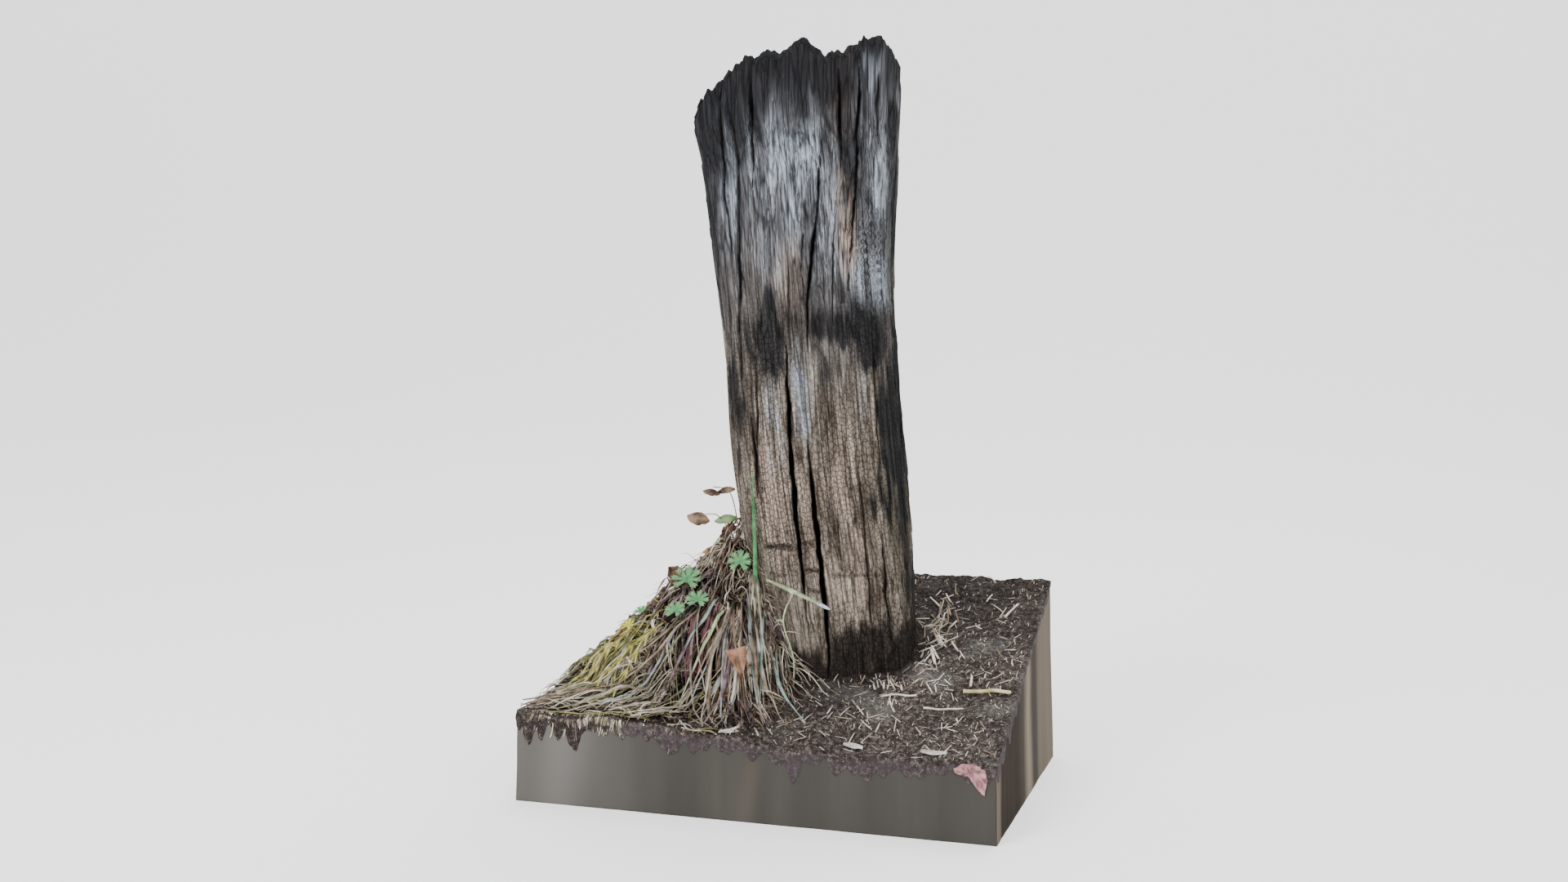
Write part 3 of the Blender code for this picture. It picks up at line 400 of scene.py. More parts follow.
def weathered_wood():
    """Split softwood left out for years: grey, open-grained and finely crazed, burnt dark at the top and muddy
    at the foot. The eye sees dull fibres along the grain, silver where rain washes it and brown where it stays wet.
    Deep in its cracks and notches, and down into its hollow top, it is painted near black as shade.
    """
    made, tree, shader = finish("weathered_softwood", "746b63", 0.90, 0.16)
    grain = add(tree, "ShaderNodeAttribute", attribute_name="grain")
    tones = add(tree, "ShaderNodeAttribute", attribute_name="tones")
    growth_and_shade = add(tree, "ShaderNodeAttribute", attribute_name="growth_and_shade")
    tone = add(tree, "ShaderNodeSeparateColor", {0: tones.outputs["Color"]})
    growth_and_shade_parts = add(tree, "ShaderNodeSeparateColor", {0: growth_and_shade.outputs["Color"]})
    # Growth rings seen edge on are 2 to 4 mm apart and run the trunk's length; single fibres are under 1 mm.
    band_place = add(tree, "ShaderNodeMapping", {"Vector": grain.outputs["Vector"], "Scale": (340, 340, 5)})
    bands = add(tree, "ShaderNodeTexNoise", {"Vector": band_place.outputs[0], "Scale": 1.0, "Detail": 3.0})
    fibre_place = add(tree, "ShaderNodeMapping", {"Vector": grain.outputs["Vector"], "Scale": (1300, 1300, 17)})
    fibres = add(tree, "ShaderNodeTexNoise", {"Vector": fibre_place.outputs[0], "Scale": 1.0, "Detail": 2.0})
    patch_place = add(tree, "ShaderNodeMapping", {"Vector": grain.outputs["Vector"], "Scale": (38, 38, 11)})
    patches = add(tree, "ShaderNodeTexNoise", {"Vector": patch_place.outputs[0], "Scale": 1.0, "Detail": 5.0})
    # Crazing: cells about 4 mm across and 5 mm long, outlined by hair cracks.
    cell_place = add(tree, "ShaderNodeMapping", {"Vector": grain.outputs["Vector"], "Scale": (230, 230, 185)})
    bent = add(tree, "ShaderNodeMix", {0: 0.30, 4: cell_place.outputs[0], 5: bands.outputs["Color"]}, data_type="VECTOR")
    cells = add(tree, "ShaderNodeTexVoronoi", {"Vector": bent.outputs[1], "Scale": 1.0}, feature="DISTANCE_TO_EDGE")
    craze = add(tree, "ShaderNodeValToRGB", {0: cells.outputs["Distance"]}, [(0.0, 0.0), (0.14, 1.0)])
    craze_share = add(tree, "ShaderNodeMath", {0: growth_and_shade_parts.outputs["Blue"], 1: 0.72}, operation="MULTIPLY")
    # Drying checks: hair cracks along the grain, 8 mm apart.
    check_place = add(tree, "ShaderNodeMapping", {"Vector": grain.outputs["Vector"], "Scale": (120, 120, 6)})
    check_cells = add(tree, "ShaderNodeTexVoronoi", {"Vector": check_place.outputs[0], "Scale": 1.0},
                      feature="DISTANCE_TO_EDGE")
    checks = add(tree, "ShaderNodeMapRange",
                 {"Value": check_cells.outputs["Distance"], "From Min": 0.0, "From Max": 0.09, "To Min": 0.22})

    # Washed grey high up, where the rain reaches, and warmer brown near the ground.
    cool = add(tree, "ShaderNodeValToRGB", {0: patches.outputs["Fac"]},
               [(0.32, linear("3a3a3d")), (0.50, linear("5b5b5e")), (0.66, linear("828286"))])
    warm = add(tree, "ShaderNodeValToRGB", {0: patches.outputs["Fac"]},
               [(0.32, linear("5d5248")), (0.50, linear("897d71")), (0.66, linear("ada193"))])
    base = add(tree, "ShaderNodeMix", {0: growth_and_shade.outputs["Alpha"], 6: cool.outputs[0], 7: warm.outputs[0]},
               data_type="RGBA")
    broken = add(tree, "ShaderNodeMapRange",
                 {"Value": patches.outputs["Fac"], "From Min": 0.30, "From Max": 0.70, "To Min": 0.40, "To Max": 1.60})
    streaky = add(tree, "ShaderNodeMapRange",
                  {"Value": bands.outputs["Fac"], "From Min": 0.3, "From Max": 0.7, "To Min": 0.55, "To Max": 1.45})
    uneven = add(tree, "ShaderNodeMath", {0: broken.outputs[0], 1: streaky.outputs[0]}, operation="MULTIPLY")
    colour = base.outputs[2]
    # Each layer: its share, its colour, the share at which it is full, and how much it then hides.
    layers = (
        (tone.outputs["Blue"], "ac988a", 0.75, 0.80),
        (tone.outputs["Green"], "9aa2ac", 1.05, 0.97),
        (growth_and_shade_parts.outputs["Red"], "4c4a39", 0.75, 0.75),
        (tone.outputs["Red"], "1d1d20", 0.76, 0.94),
        (tones.outputs["Alpha"], "312a26", 0.80, 0.97),
    )
    for share, tint, full, most in layers:
        spread = add(tree, "ShaderNodeMath", {0: share, 1: uneven.outputs[0]}, operation="MULTIPLY")
        amount = add(tree, "ShaderNodeMapRange",
                     {"Value": spread.outputs[0], "From Min": 0.12, "From Max": full, "To Max": most},
                     interpolation_type="SMOOTHSTEP")
        laid = add(tree, "ShaderNodeMix", {0: amount.outputs[0], 6: colour, 7: linear(tint)}, data_type="RGBA")
        colour = laid.outputs[2]
    band_shade = add(tree, "ShaderNodeMapRange",
                     {"Value": bands.outputs["Fac"], "From Min": 0.30, "From Max": 0.68, "To Min": 0.36, "To Max": 1.40})
    banded = add(tree, "ShaderNodeMix", {0: 1.0, 6: colour, 7: band_shade.outputs[0]},
                 data_type="RGBA", blend_type="MULTIPLY")
    fibre_shade = add(tree, "ShaderNodeMapRange",
                      {"Value": fibres.outputs["Fac"], "From Min": 0.28, "From Max": 0.72, "To Min": 0.48, "To Max": 1.50})
    fibrous = add(tree, "ShaderNodeMix", {0: 1.0, 6: banded.outputs[2], 7: fibre_shade.outputs[0]},
                  data_type="RGBA", blend_type="MULTIPLY")
    checked = add(tree, "ShaderNodeMix", {0: 0.8, 6: fibrous.outputs[2], 7: checks.outputs[0]},
                  data_type="RGBA", blend_type="MULTIPLY")
    crazed = add(tree, "ShaderNodeMix", {0: craze_share.outputs[0], 6: checked.outputs[2], 7: craze.outputs[0]},
                 data_type="RGBA", blend_type="MULTIPLY")
    # Painted shade: near black deep in the cracks and notches and in the hollow top, from the attribute's Green part.
    deep = add(tree, "ShaderNodeMix", {0: growth_and_shade_parts.outputs["Green"], 6: crazed.outputs[2], 7: linear("0e0b0a")},
               data_type="RGBA")
    tree.links.new(deep.outputs[2], shader.inputs["Base Color"])
    height = add(tree, "ShaderNodeMath", {0: bands.outputs["Fac"], 1: fibres.outputs["Fac"]}, operation="ADD")
    craze_lift = add(tree, "ShaderNodeMath", {0: craze.outputs[0], 1: craze_share.outputs[0]}, operation="MULTIPLY")
    lifted = add(tree, "ShaderNodeMath", {0: height.outputs[0], 1: craze_lift.outputs[0]}, operation="ADD")
    split = add(tree, "ShaderNodeMath", {0: lifted.outputs[0], 1: checks.outputs[0]}, operation="ADD")
    bump = add(tree, "ShaderNodeBump", {"Height": split.outputs[0], "Strength": 0.8, "Distance": 0.0014})
    tree.links.new(bump.outputs[0], shader.inputs["Normal"])
    return made


def loose_soil():
    """Damp topsoil, crumbled by hand: clods about 9 mm across with 2 mm grit, which give a dull, uneven dark brown."""
    made, tree, shader = finish("damp_topsoil", "3f3733", 0.95, 0.12)
    place = add(tree, "ShaderNodeTexCoord")
    clods = add(tree, "ShaderNodeTexNoise", {"Vector": place.outputs["Object"], "Scale": 150.0, "Detail": 5.0})
    areas = add(tree, "ShaderNodeTexNoise", {"Vector": place.outputs["Object"], "Scale": 9.0, "Detail": 4.0})
    grit = add(tree, "ShaderNodeTexNoise", {"Vector": place.outputs["Object"], "Scale": 480.0, "Detail": 2.0})
    tone = add(tree, "ShaderNodeValToRGB", {0: clods.outputs["Fac"]},
               [(0.30, linear("211c1a")), (0.50, linear("3f3835")), (0.70, linear("6f6763"))])
    area = add(tree, "ShaderNodeMapRange",
               {"Value": areas.outputs["Fac"], "From Min": 0.3, "From Max": 0.7, "To Min": 0.70, "To Max": 1.30})
    mixed = add(tree, "ShaderNodeMix", {0: 1.0, 6: tone.outputs[0], 7: area.outputs[0]},
                data_type="RGBA", blend_type="MULTIPLY")
    specks = add(tree, "ShaderNodeMapRange",
                 {"Value": grit.outputs["Fac"], "From Min": 0.62, "From Max": 0.70, "To Max": 0.75})
    speckled = add(tree, "ShaderNodeMix", {0: specks.outputs[0], 6: mixed.outputs[2], 7: linear("b3a79c")},
                   data_type="RGBA")
    tones = add(tree, "ShaderNodeAttribute", attribute_name="tones")
    tone_parts = add(tree, "ShaderNodeSeparateColor", {0: tones.outputs["Color"]})
    hung = add(tree, "ShaderNodeMix", {0: tone_parts.outputs["Red"], 6: speckled.outputs[2], 7: linear("463d42")},
               data_type="RGBA")
    dusty = add(tree, "ShaderNodeMix", {0: tone_parts.outputs["Green"], 6: hung.outputs[2], 7: linear("4a4b48")},
                data_type="RGBA", blend_type="SCREEN")
    # The near-black tint lays painted shade round the stump's foot and under the grass, and darkens the back and the
    # fringe's wet left end.
    damp_and_shade = add(tree, "ShaderNodeMix", {0: tone_parts.outputs["Blue"], 6: dusty.outputs[2], 7: linear("1d1816")},
               data_type="RGBA")
    tree.links.new(damp_and_shade.outputs[2], shader.inputs["Base Color"])
    height = add(tree, "ShaderNodeMath", {0: clods.outputs["Fac"], 1: grit.outputs["Fac"]}, operation="ADD")
    bump = add(tree, "ShaderNodeBump", {"Height": height.outputs[0], "Strength": 0.8, "Distance": 0.0022})
    tree.links.new(bump.outputs[0], shader.inputs["Normal"])
    return made


def cut_subsoil():
    """Clay subsoil sliced with a spade: a close, almost smooth face with soft drags down the cut."""
    made, tree, shader = finish("spade_cut_clay", "645e5a", 0.92, 0.08)
    place = add(tree, "ShaderNodeTexCoord")
    stretched = add(tree, "ShaderNodeMapping", {"Vector": place.outputs["Object"], "Scale": (16, 26, 1.6)})
    drags = add(tree, "ShaderNodeTexNoise", {"Vector": stretched.outputs[0], "Scale": 1.0, "Detail": 3.0})
    tone = add(tree, "ShaderNodeValToRGB", {0: drags.outputs["Fac"]},
               [(0.30, linear("43403c")), (0.50, linear("484541")), (0.70, linear("4e4b46"))])
    tones = add(tree, "ShaderNodeAttribute", attribute_name="tones")
    tone_parts = add(tree, "ShaderNodeSeparateColor", {0: tones.outputs["Color"]})
    pale = add(tree, "ShaderNodeMix", {0: tone_parts.outputs["Red"], 6: tone.outputs[0], 7: linear("706c68")},
               data_type="RGBA")
    # The near-black tint is painted shade on the block's right side, and faint darker stripes on its other sides.
    dark = add(tree, "ShaderNodeMix", {0: tone_parts.outputs["Blue"], 6: pale.outputs[2], 7: linear("231b14")},
               data_type="RGBA")
    tan = add(tree, "ShaderNodeMix", {0: tone_parts.outputs["Green"], 6: dark.outputs[2], 7: linear("8c7f6e")},
              data_type="RGBA")
    tree.links.new(tan.outputs[2], shader.inputs["Base Color"])
    bump = add(tree, "ShaderNodeBump", {"Height": drags.outputs["Fac"], "Strength": 0.25, "Distance": 0.002})
    tree.links.new(bump.outputs[0], shader.inputs["Normal"])
    return made


def plant_finish(name, low, high, roughness, spread=70.0):
    """A stem or blade: its colour wanders between two tones along it, with fibres 0.5 mm apart in dull relief.
    Some blades are darker all over, and each is painted darker towards its root, up to nearly black, as shade deep in
    the thatch.
    """
    made, tree, shader = finish(name, high, roughness, 0.3)
    place = add(tree, "ShaderNodeTexCoord")
    wander = add(tree, "ShaderNodeTexNoise", {"Vector": place.outputs["Object"], "Scale": spread, "Detail": 4.0})
    tone = add(tree, "ShaderNodeValToRGB", {0: wander.outputs["Fac"]}, [(0.34, linear(low)), (0.64, linear(high))])
    tones = add(tree, "ShaderNodeAttribute", attribute_name="tones")
    tone_parts = add(tree, "ShaderNodeSeparateColor", {0: tones.outputs["Color"]})
    # Each blade's own darkness, and painted shade towards its root, take it towards near black.
    dark_and_root_shade = add(tree, "ShaderNodeMix", {0: tone_parts.outputs["Red"], 6: tone.outputs[0], 7: linear("15100c")},
                 data_type="RGBA")
    tree.links.new(dark_and_root_shade.outputs[2], shader.inputs["Base Color"])
    fibres = add(tree, "ShaderNodeTexNoise", {"Vector": place.outputs["Object"], "Scale": 900.0, "Detail": 1.0})
    bump = add(tree, "ShaderNodeBump", {"Height": fibres.outputs["Fac"], "Strength": 0.3, "Distance": 0.0004})
    tree.links.new(bump.outputs[0], shader.inputs["Normal"])
    return made


def leaf_finish(name, blade, vein, edge):
    """A living leaf: matt, slightly hairy, paler along its veins and where the teeth age."""
    made, tree, shader = finish(name, blade, 0.62, 0.35)
    place = add(tree, "ShaderNodeTexCoord")
    wander = add(tree, "ShaderNodeTexNoise", {"Vector": place.outputs["Object"], "Scale": 160.0, "Detail": 3.0})
    shade = add(tree, "ShaderNodeMapRange",
                {"Value": wander.outputs["Fac"], "From Min": 0.3, "From Max": 0.7, "To Min": 0.72, "To Max": 1.22})
    body = add(tree, "ShaderNodeMix", {0: 1.0, 6: linear(blade), 7: shade.outputs[0]},
               data_type="RGBA", blend_type="MULTIPLY")
    tones = add(tree, "ShaderNodeAttribute", attribute_name="tones")
    tone_parts = add(tree, "ShaderNodeSeparateColor", {0: tones.outputs["Color"]})
    veined = add(tree, "ShaderNodeMix", {0: tone_parts.outputs["Red"], 6: body.outputs[2], 7: linear(vein)},
                 data_type="RGBA")
    edged = add(tree, "ShaderNodeMix", {0: tone_parts.outputs["Green"], 6: veined.outputs[2], 7: linear(edge)},
                data_type="RGBA")
    tree.links.new(edged.outputs[2], shader.inputs["Base Color"])
    bump = add(tree, "ShaderNodeBump", {"Height": wander.outputs["Fac"], "Strength": 0.3, "Distance": 0.0006})
    tree.links.new(bump.outputs[0], shader.inputs["Normal"])
    return made


WOOD = weathered_wood()
SOIL = loose_soil()
CLAY = cut_subsoil()
# Dead grass from bleached straw to rotting thatch, whose near-black finish also paints the shade inside the tussock,
# and living stems.
GRASS = (
    plant_finish("bleached_grass", "bba98f", "f7eddd", 0.80),
    plant_finish("tan_grass", "75614f", "b8a088", 0.82),
    plant_finish("brown_grass", "43372f", "7c6758", 0.85),
    plant_finish("grey_grass", "585149", "a59c91", 0.85),
    plant_finish("faded_green_grass", "66684c", "b0b08a", 0.78),
    plant_finish("mauve_dry_stems", "5c464a", "a0868a", 0.80),
    plant_finish("yellow_dry_stems", "8c8246", "d8cd86", 0.78),
    plant_finish("bluish_blades", "86918e", "c6d2ce", 0.75),
    plant_finish("lemon_shoots", "a9a44a", "e6e08c", 0.75),
    plant_finish("rotting_and_shaded_thatch", "16110e", "3a2d25", 0.92),
)
PALE, TAN, BROWN, GREY, FADED, MAUVE, YELLOW, BLUISH, LEMON, ROTTING_AND_SHADE = range(10)
GREEN_LEAF = leaf_finish("cranesbill_leaf", "5f9c68", "b9d8a8", "86a36a")
YELLOW_LEAF = leaf_finish("yellowing_leaf", "c9c650", "e9e79a", "a8983c")
GREEN_STEM = plant_finish("green_stem", "587a4c", "93b07c", 0.6)
BLUE_GREEN = plant_finish("blue_green_blade", "6c8480", "a9bdb4", 0.6)
VIVID_GREEN = plant_finish("vivid_green_blade", "2f6d3c", "5fa568", 0.55)
YELLOW_STEM = plant_finish("yellow_green_stem", "9a9238", "d9d274", 0.65)
RED_STEM = plant_finish("red_stem", "4a2a30", "8d5c62", 0.65)
PALE_STALK = plant_finish("pale_green_stalk", "93a078", "ccd3ac", 0.65)
WHITE_TIP = plant_finish("whitened_tip", "aebfc4", "dfe8ea", 0.65)
DEAD_LEAF = plant_finish("dead_leaf", "75523d", "b98d70", 0.75)
BROWN_LEAF = plant_finish("curled_brown_leaf", "3f3026", "957a63", 0.8)
STRAW = plant_finish("broken_straw", "bdad99", "f6efe2", 0.75, 50.0)
YELLOW_STRAW = plant_finish("fresh_straw", "b3a064", "efe3b0", 0.7, 50.0)
PINK_LEAF = leaf_finish("pink_dead_leaf", "a9767a", "55323b", "dcb0a9")
BARK_CHIP = plant_finish("pale_wood_chip", "9c948c", "eee8e2", 0.8, 60.0)


# Meshes


class Bundle:
    """Collects many blades, straws and leaves into one mesh."""

    def __init__(self):
        self.points = []
        self.faces = []
        self.slots = []
        self.tones = []

    def put(self, points, faces, slot=0, tones=None):
        first = len(self.points)
        self.points += points
        self.faces += [tuple(first + i for i in face) for face in faces]
        self.slots += [slot] * len(faces)
        self.tones += tones or [(0, 0, 0, 1)] * len(points)

    def blade(self, path, width, thick, face, slot=0, tip=0.15, twist=0.0, root=0.7, dark=0.0, root_shade=0.0):
        """A folded blade: a shallow V in section, widest a third of the way along, and drawn to its tip.
        It is this dark all over, and this much darker at its root, as painted shade.
        """
        last = len(path) - 1
        points, tones = [], []
        for i, point in enumerate(path):
            ahead = (path[min(i + 1, last)] - path[max(i - 1, 0)]).normalized()
            side = ahead.cross(Vector(face))
            if side.length < 1e-4:
                side = ahead.orthogonal()
            side = (Matrix.Rotation(twist * i / last, 3, ahead) @ side).normalized()
            normal = side.cross(ahead)
            t = i / last
            share = root + (1 - root) * smooth(t * 3)
            share *= 1 - (1 - tip) * smooth((t - 0.35) / 0.65)
            half = width / 2 * share
            sag = normal * (half * 0.45)
            body = normal * (thick * (0.5 + 0.5 * share))
            points += [point - side * half, point - sag, point + side * half, point - sag - body]
            # Red: the blade's own darkness, with painted shade towards its root.
            tones += [(min(dark + root_shade * (1 - smooth(t * 2)), 0.92), 0, 0, 1)] * 4
        faces = []
        for i in range(last):
            for k in range(4):
                a, b = 4 * i + k, 4 * i + (k + 1) % 4
                faces.append((a, b, b + 4, a + 4))
        faces.append((3, 2, 1, 0))
        faces.append(tuple(4 * last + k for k in range(4)))
        self.put(points, faces, slot, tones)

    def stalk(self, path, radius, slot=0, tip=0.7, sides=7):
        """A round stem."""
        last = len(path) - 1
        side = (path[1] - path[0]).orthogonal().normalized()
        points = []
        for i, point in enumerate(path):
            ahead = (path[min(i + 1, last)] - path[max(i - 1, 0)]).normalized()
            side = (side - ahead * side.dot(ahead)).normalized()
            up = ahead.cross(side)
            size = radius * (1 - (1 - tip) * i / last)
            for k in range(sides):
                turn = 2 * math.pi * k / sides
                points.append(point + (side * math.cos(turn) + up * math.sin(turn)) * size)
        faces = []
        for i in range(last):
            for k in range(sides):
                a, b = sides * i + k, sides * i + (k + 1) % sides
                faces.append((a, b, b + sides, a + sides))
        faces.append(tuple(reversed(range(sides))))
        faces.append(tuple(sides * last + k for k in range(sides)))
        self.put(points, faces, slot)

    def sheet(self, grid, thick, slot=0, tones=None):
        """A thin leaf from rows of points, the same in number, given the thickness of a leaf."""
        rows, columns = len(grid), len(grid[0])
        normals = []
        for r in range(rows):
            for c in range(columns):
                along = grid[min(r + 1, rows - 1)][c] - grid[max(r - 1, 0)][c]
                across = grid[r][min(c + 1, columns - 1)] - grid[r][max(c - 1, 0)]
                normal = along.cross(across)
                normals.append(normal.normalized() if normal.length > 1e-12 else Vector((0, 0, 1)))
        flat = [p for row in grid for p in row]
        upper = [p + n * thick / 2 for p, n in zip(flat, normals)]
        lower = [p - n * thick / 2 for p, n in zip(flat, normals)]
        count = rows * columns
        faces = []
        for r in range(rows - 1):
            for c in range(columns - 1):
                a = r * columns + c
                quad = (a, a + columns, a + columns + 1, a + 1)
                faces.append(quad)
                faces.append(tuple(count + i for i in reversed(quad)))
        edge = [c for c in range(columns)]
        edge += [r * columns + columns - 1 for r in range(1, rows)]
        edge += [(rows - 1) * columns + c for c in range(columns - 2, -1, -1)]
        edge += [r * columns for r in range(rows - 2, 0, -1)]
        for a, b in zip(edge, edge[1:] + edge[:1]):
            faces.append((a, b, count + b, count + a))
        self.put(upper + lower, faces, slot, tones and tones + tones)

    def piece(self, name, finishes, node_names, slot_name, shade_smooth=True):
        return piece(name, self.points, self.faces, finishes, node_names, shade_smooth,
                     self.slots, {"tones": self.tones})


def piece(name, points, faces, finishes, node_names, shade_smooth=True, slots=None, colours=None):
    """A finished mesh that rides with the part and stands for its solids."""
    mesh = bpy.data.meshes.new(name)
    mesh.from_pydata(points, [], faces)
    for material in finishes:
        mesh.materials.append(material)
    if slots:
        mesh.polygons.foreach_set("material_index", slots)
    mesh.polygons.foreach_set("use_smooth", [shade_smooth] * len(mesh.polygons))
    for kind, values in (colours or {}).items():
        layer = mesh.attributes.new(kind, "FLOAT_VECTOR" if len(values[0]) == 3 else "FLOAT_COLOR", "POINT")
        field = "vector" if len(values[0]) == 3 else "color"
        layer.data.foreach_set(field, [number for value in values for number in value])
    mesh.update()
    made = bpy.data.objects.new(name, mesh)
    bpy.context.scene.collection.objects.link(made)
    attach(made, "root")
    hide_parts(*node_names)
    return made


# The stump

STUMP_COLUMNS = 430
STUMP_RINGS = 204
RING_STEPS = 2000
CAP_RINGS = 20
VIEW_SIDE_DENSITY = 1.7
BURIED_FROM = 0.10
HIGHEST = 1.0770


def column_angles():
    """Angles round the section, evenly spaced along its face but closer on the broad face."""
    steps = 3600
    marks = [0.0]
    before = Vector(stump_wall(0.0, 0.6))
    for i in range(1, steps + 1):
        angle = 2 * math.pi * i / steps
        here = Vector(stump_wall(angle, 0.6))
        weight = 1 + (VIEW_SIDE_DENSITY - 1) * smooth(0.5 - 2 * math.sin(angle))
        marks.append(marks[-1] + (here - before).length * weight)
        before = here
    angles, k = [], 0
    for n in range(STUMP_COLUMNS):
        want = marks[-1] * n / STUMP_COLUMNS
        while marks[k + 1] < want:
            k += 1
        angles.append(2 * math.pi * (k + (want - marks[k]) / (marks[k + 1] - marks[k])) / steps)
    return angles


def ring_shares():
    """Shares of the way up the wood, closer together where the grain is notched or wrinkled."""
    marks = [0.0]
    for i in range(RING_STEPS):
        z = BURIED_FROM + (RIM_MIDDLE - BURIED_FROM) * i / RING_STEPS
        marks.append(marks[-1] + 1 + 0.9 * (0.28 < z < 0.40) + 0.9 * (0.70 < z < 0.86) - 0.5 * (z < 0.14))
    shares, k = [], 0
    for n in range(STUMP_RINGS):
        want = marks[-1] * n / STUMP_RINGS
        while marks[k + 1] < want:
            k += 1
        shares.append((k + (want - marks[k]) / (marks[k + 1] - marks[k])) / RING_STEPS)
    return shares + [1.0]


def ready_cracks():
    """The cracks with their facing directions worked out and their paths from low to high, with seeded fine ones."""
    rng = random.Random(5)
    found = list(CRACKS)
    for _ in range(FINE_CRACKS):
        facing = rng.choice((0, 0, 0, -90, 90, 180, 180, -60, 60, 130, -130))
        z, length, place = rng.uniform(0.28, 0.98), rng.uniform(0.05, 0.22), rng.uniform(-0.095, 0.095)
        drift = rng.uniform(-0.006, 0.006)
        path = ((place + drift, z + length / 2), (place, z), (place - drift, z - length / 2))
        found.append((facing, path, rng.uniform(0.0022, 0.0042), rng.uniform(0.003, 0.008)))
    ready = []
    for i, (facing, path, width, depth) in enumerate(found):
        turn = math.radians(facing)
        ready.append((math.cos(turn), math.sin(turn), path[::-1], width, depth, i * 3.7))
    return ready


def crack_depth(cracks, u, v, z):
    """(how deep the crack is here, and its way in): the deepest where cracks cross, with a rolled lip beside it."""
    deepest, lip, way = 0.0, 0.0, (0.0, 0.0)
    for c, s, path, width, depth, seed in cracks:
        low, high = path[0][1], path[-1][1]
        if not low < z < high or u * s - v * c <= 0:
            continue
        for (p0, z0), (p1, z1) in zip(path, path[1:]):
            if z <= z1:
                break
        place = p0 + (p1 - p0) * (z - z0) / (z1 - z0)
        place += 0.0022 * rough(z * 26, seed) + 0.0009 * rough(z * 95, seed + 1)
        lateral = abs(u * c + v * s - place)
        if lateral > 3 * width:
            continue
        opening = max(math.sin(math.pi * (z - low) / (high - low)), 0.0) ** 0.6
        opening *= (0.85 + 0.35 * rough(z * 40, seed + 2)) * (1 - 0.8 * smooth((z - 0.99) / 0.06))
        lip = max(lip, 0.16 * width * opening * math.exp(-((lateral / width - 0.9) ** 2) * 3))
        half = width / 2 * opening
        if lateral < half:
            here = depth * opening * (1 - lateral / half) ** 0.75
            if here > deepest:
                deepest, way = here, (s, -c)
    return deepest, lip, way


def by_wrinkles(u, v, z):
    """How near this place is to the buckled grain: 1 at its middle."""
    return math.exp(-(((u - WRINKLES_AT[0]) / 0.024) ** 2) - ((z - WRINKLES_AT[1]) / 0.075) ** 2) if v < 0 else 0.0


def weathering(u, v, z):
    """How far the fine surface stands out: flutes and fibres along the grain, and flakes split off in steps."""
    flutes = 0.0015 * rough(u / 0.012, v / 0.012, z / 0.17)
    fibres = 0.0007 * rough(u / 0.0045, v / 0.0045, z / 0.08)
    flake = rough(u / 0.034 + 3, v / 0.034, z / 0.15) + 0.25 * rough(u / 0.008, v / 0.008, z / 0.03)
    steps = smooth((flake + 0.12) / 0.07) + smooth((flake - 0.26) / 0.07)
    knobs = 0.0012 * rough(u / 0.02, v / 0.02, z / 0.02) * smooth((0.40 - z) / 0.15)
    # The grain buckles in level wrinkles 14 mm apart, high on the right of the broad face.
    wrinkles = 0.0021 * by_wrinkles(u, v, z) * math.sin(2 * math.pi * (z / 0.014 + 0.35 * rough(u * 60, z * 30)))
    return flutes + fibres + knobs + wrinkles + 0.0016 * (steps - 1)


def notch_depth(u, z):
    deepest = 0.0
    for place, height, half_length, depth in NOTCHES:
        along = abs(u - place) / half_length
        if along < 1.3:
            off = (z - height - 0.002 * rough(u * 90, height * 10)) / 0.0034
            deepest = max(deepest, depth * smooth((1.3 - along) / 0.5) * math.exp(-off * off))
    return deepest


def between_cracks(u, z):
    """A lumpy rounded ridge of sound wood stands between the two main cracks."""
    middle = -0.030 - (0.375 - z) * 0.035
    along = smooth((z - 0.22) / 0.04) * smooth((0.58 - z) / 0.12)
    return (0.0045 + 0.0022 * rough(z * 52, 3.0)) * along * math.exp(-(((u - middle) / 0.0095) ** 2))


def tone_shares(u, v, z, rim):
    """Shares of char, silver, tan, mud and moss on the wood at this place."""
    front = smooth((0.040 - v) / 0.05)
    shares = {"char": 0.0, "silver": 0.0, "tan": 0.0, "moss": 0.0}
    ragged = 1.1 * rough(u * 46, v * 46, z * 13) + 0.8 * rough(u * 130, v * 130, z * 32)
    for kind, place, height, half_width, half_height, strength in TONES:
        off = ((u - place) / half_width) ** 2 + ((z - height) / half_height) ** 2
        if off < 4:
            off = max(off + ragged, 0.0)
            shares[kind] = max(shares[kind], front * strength * math.exp(-0.9 * off))
    side = 1 - front
    shares["silver"] = max(shares["silver"], side * 0.62 * smooth(rough(u * 11, v * 11, z * 2.6) * 1.8))
    shares["tan"] = max(shares["tan"], side * 0.6 * smooth(rough(u * 9 + 7, v * 9, z * 2.1) * 2.0))
    shares["moss"] = max(shares["moss"], side * 0.8 * smooth((0.55 - z) / 0.3) * smooth(u * 9))
    below_rim = rim - z + 0.060 * rough(u * 24, v * 24, z * 2) + 0.035 * rough(u * 75, v * 75, z * 8)
    left, right = smooth((-u - 0.02) / 0.10), front * smooth((u - 0.07) / 0.03)
    burnt = 0.86 * smooth((0.150 + 0.050 * left - 0.045 * right - below_rim) / 0.11)
    burnt = max(burnt, smooth((0.020 - rim + z + 0.012 * rough(u * 60, v * 60)) / 0.014))
    shares["char"] = max(shares["char"], burnt) * (1 - 0.50 * shares["silver"])
    foot = ground(*stump_point(value_at(LEAN, z) + u, v, z)[:2])
    edge = 0.030 * rough(u * 22, v * 22, 3.0) + 0.022 * rough(u * 70, v * 70, 8.0)
    # It lies lower on the left of the broad face, where the grass keeps the splash off.
    low = 0.045 * smooth((-0.012 - u) / 0.02) * front
    mud = smooth((foot + 0.098 + edge - low - z) / 0.055)
    return shares, mud


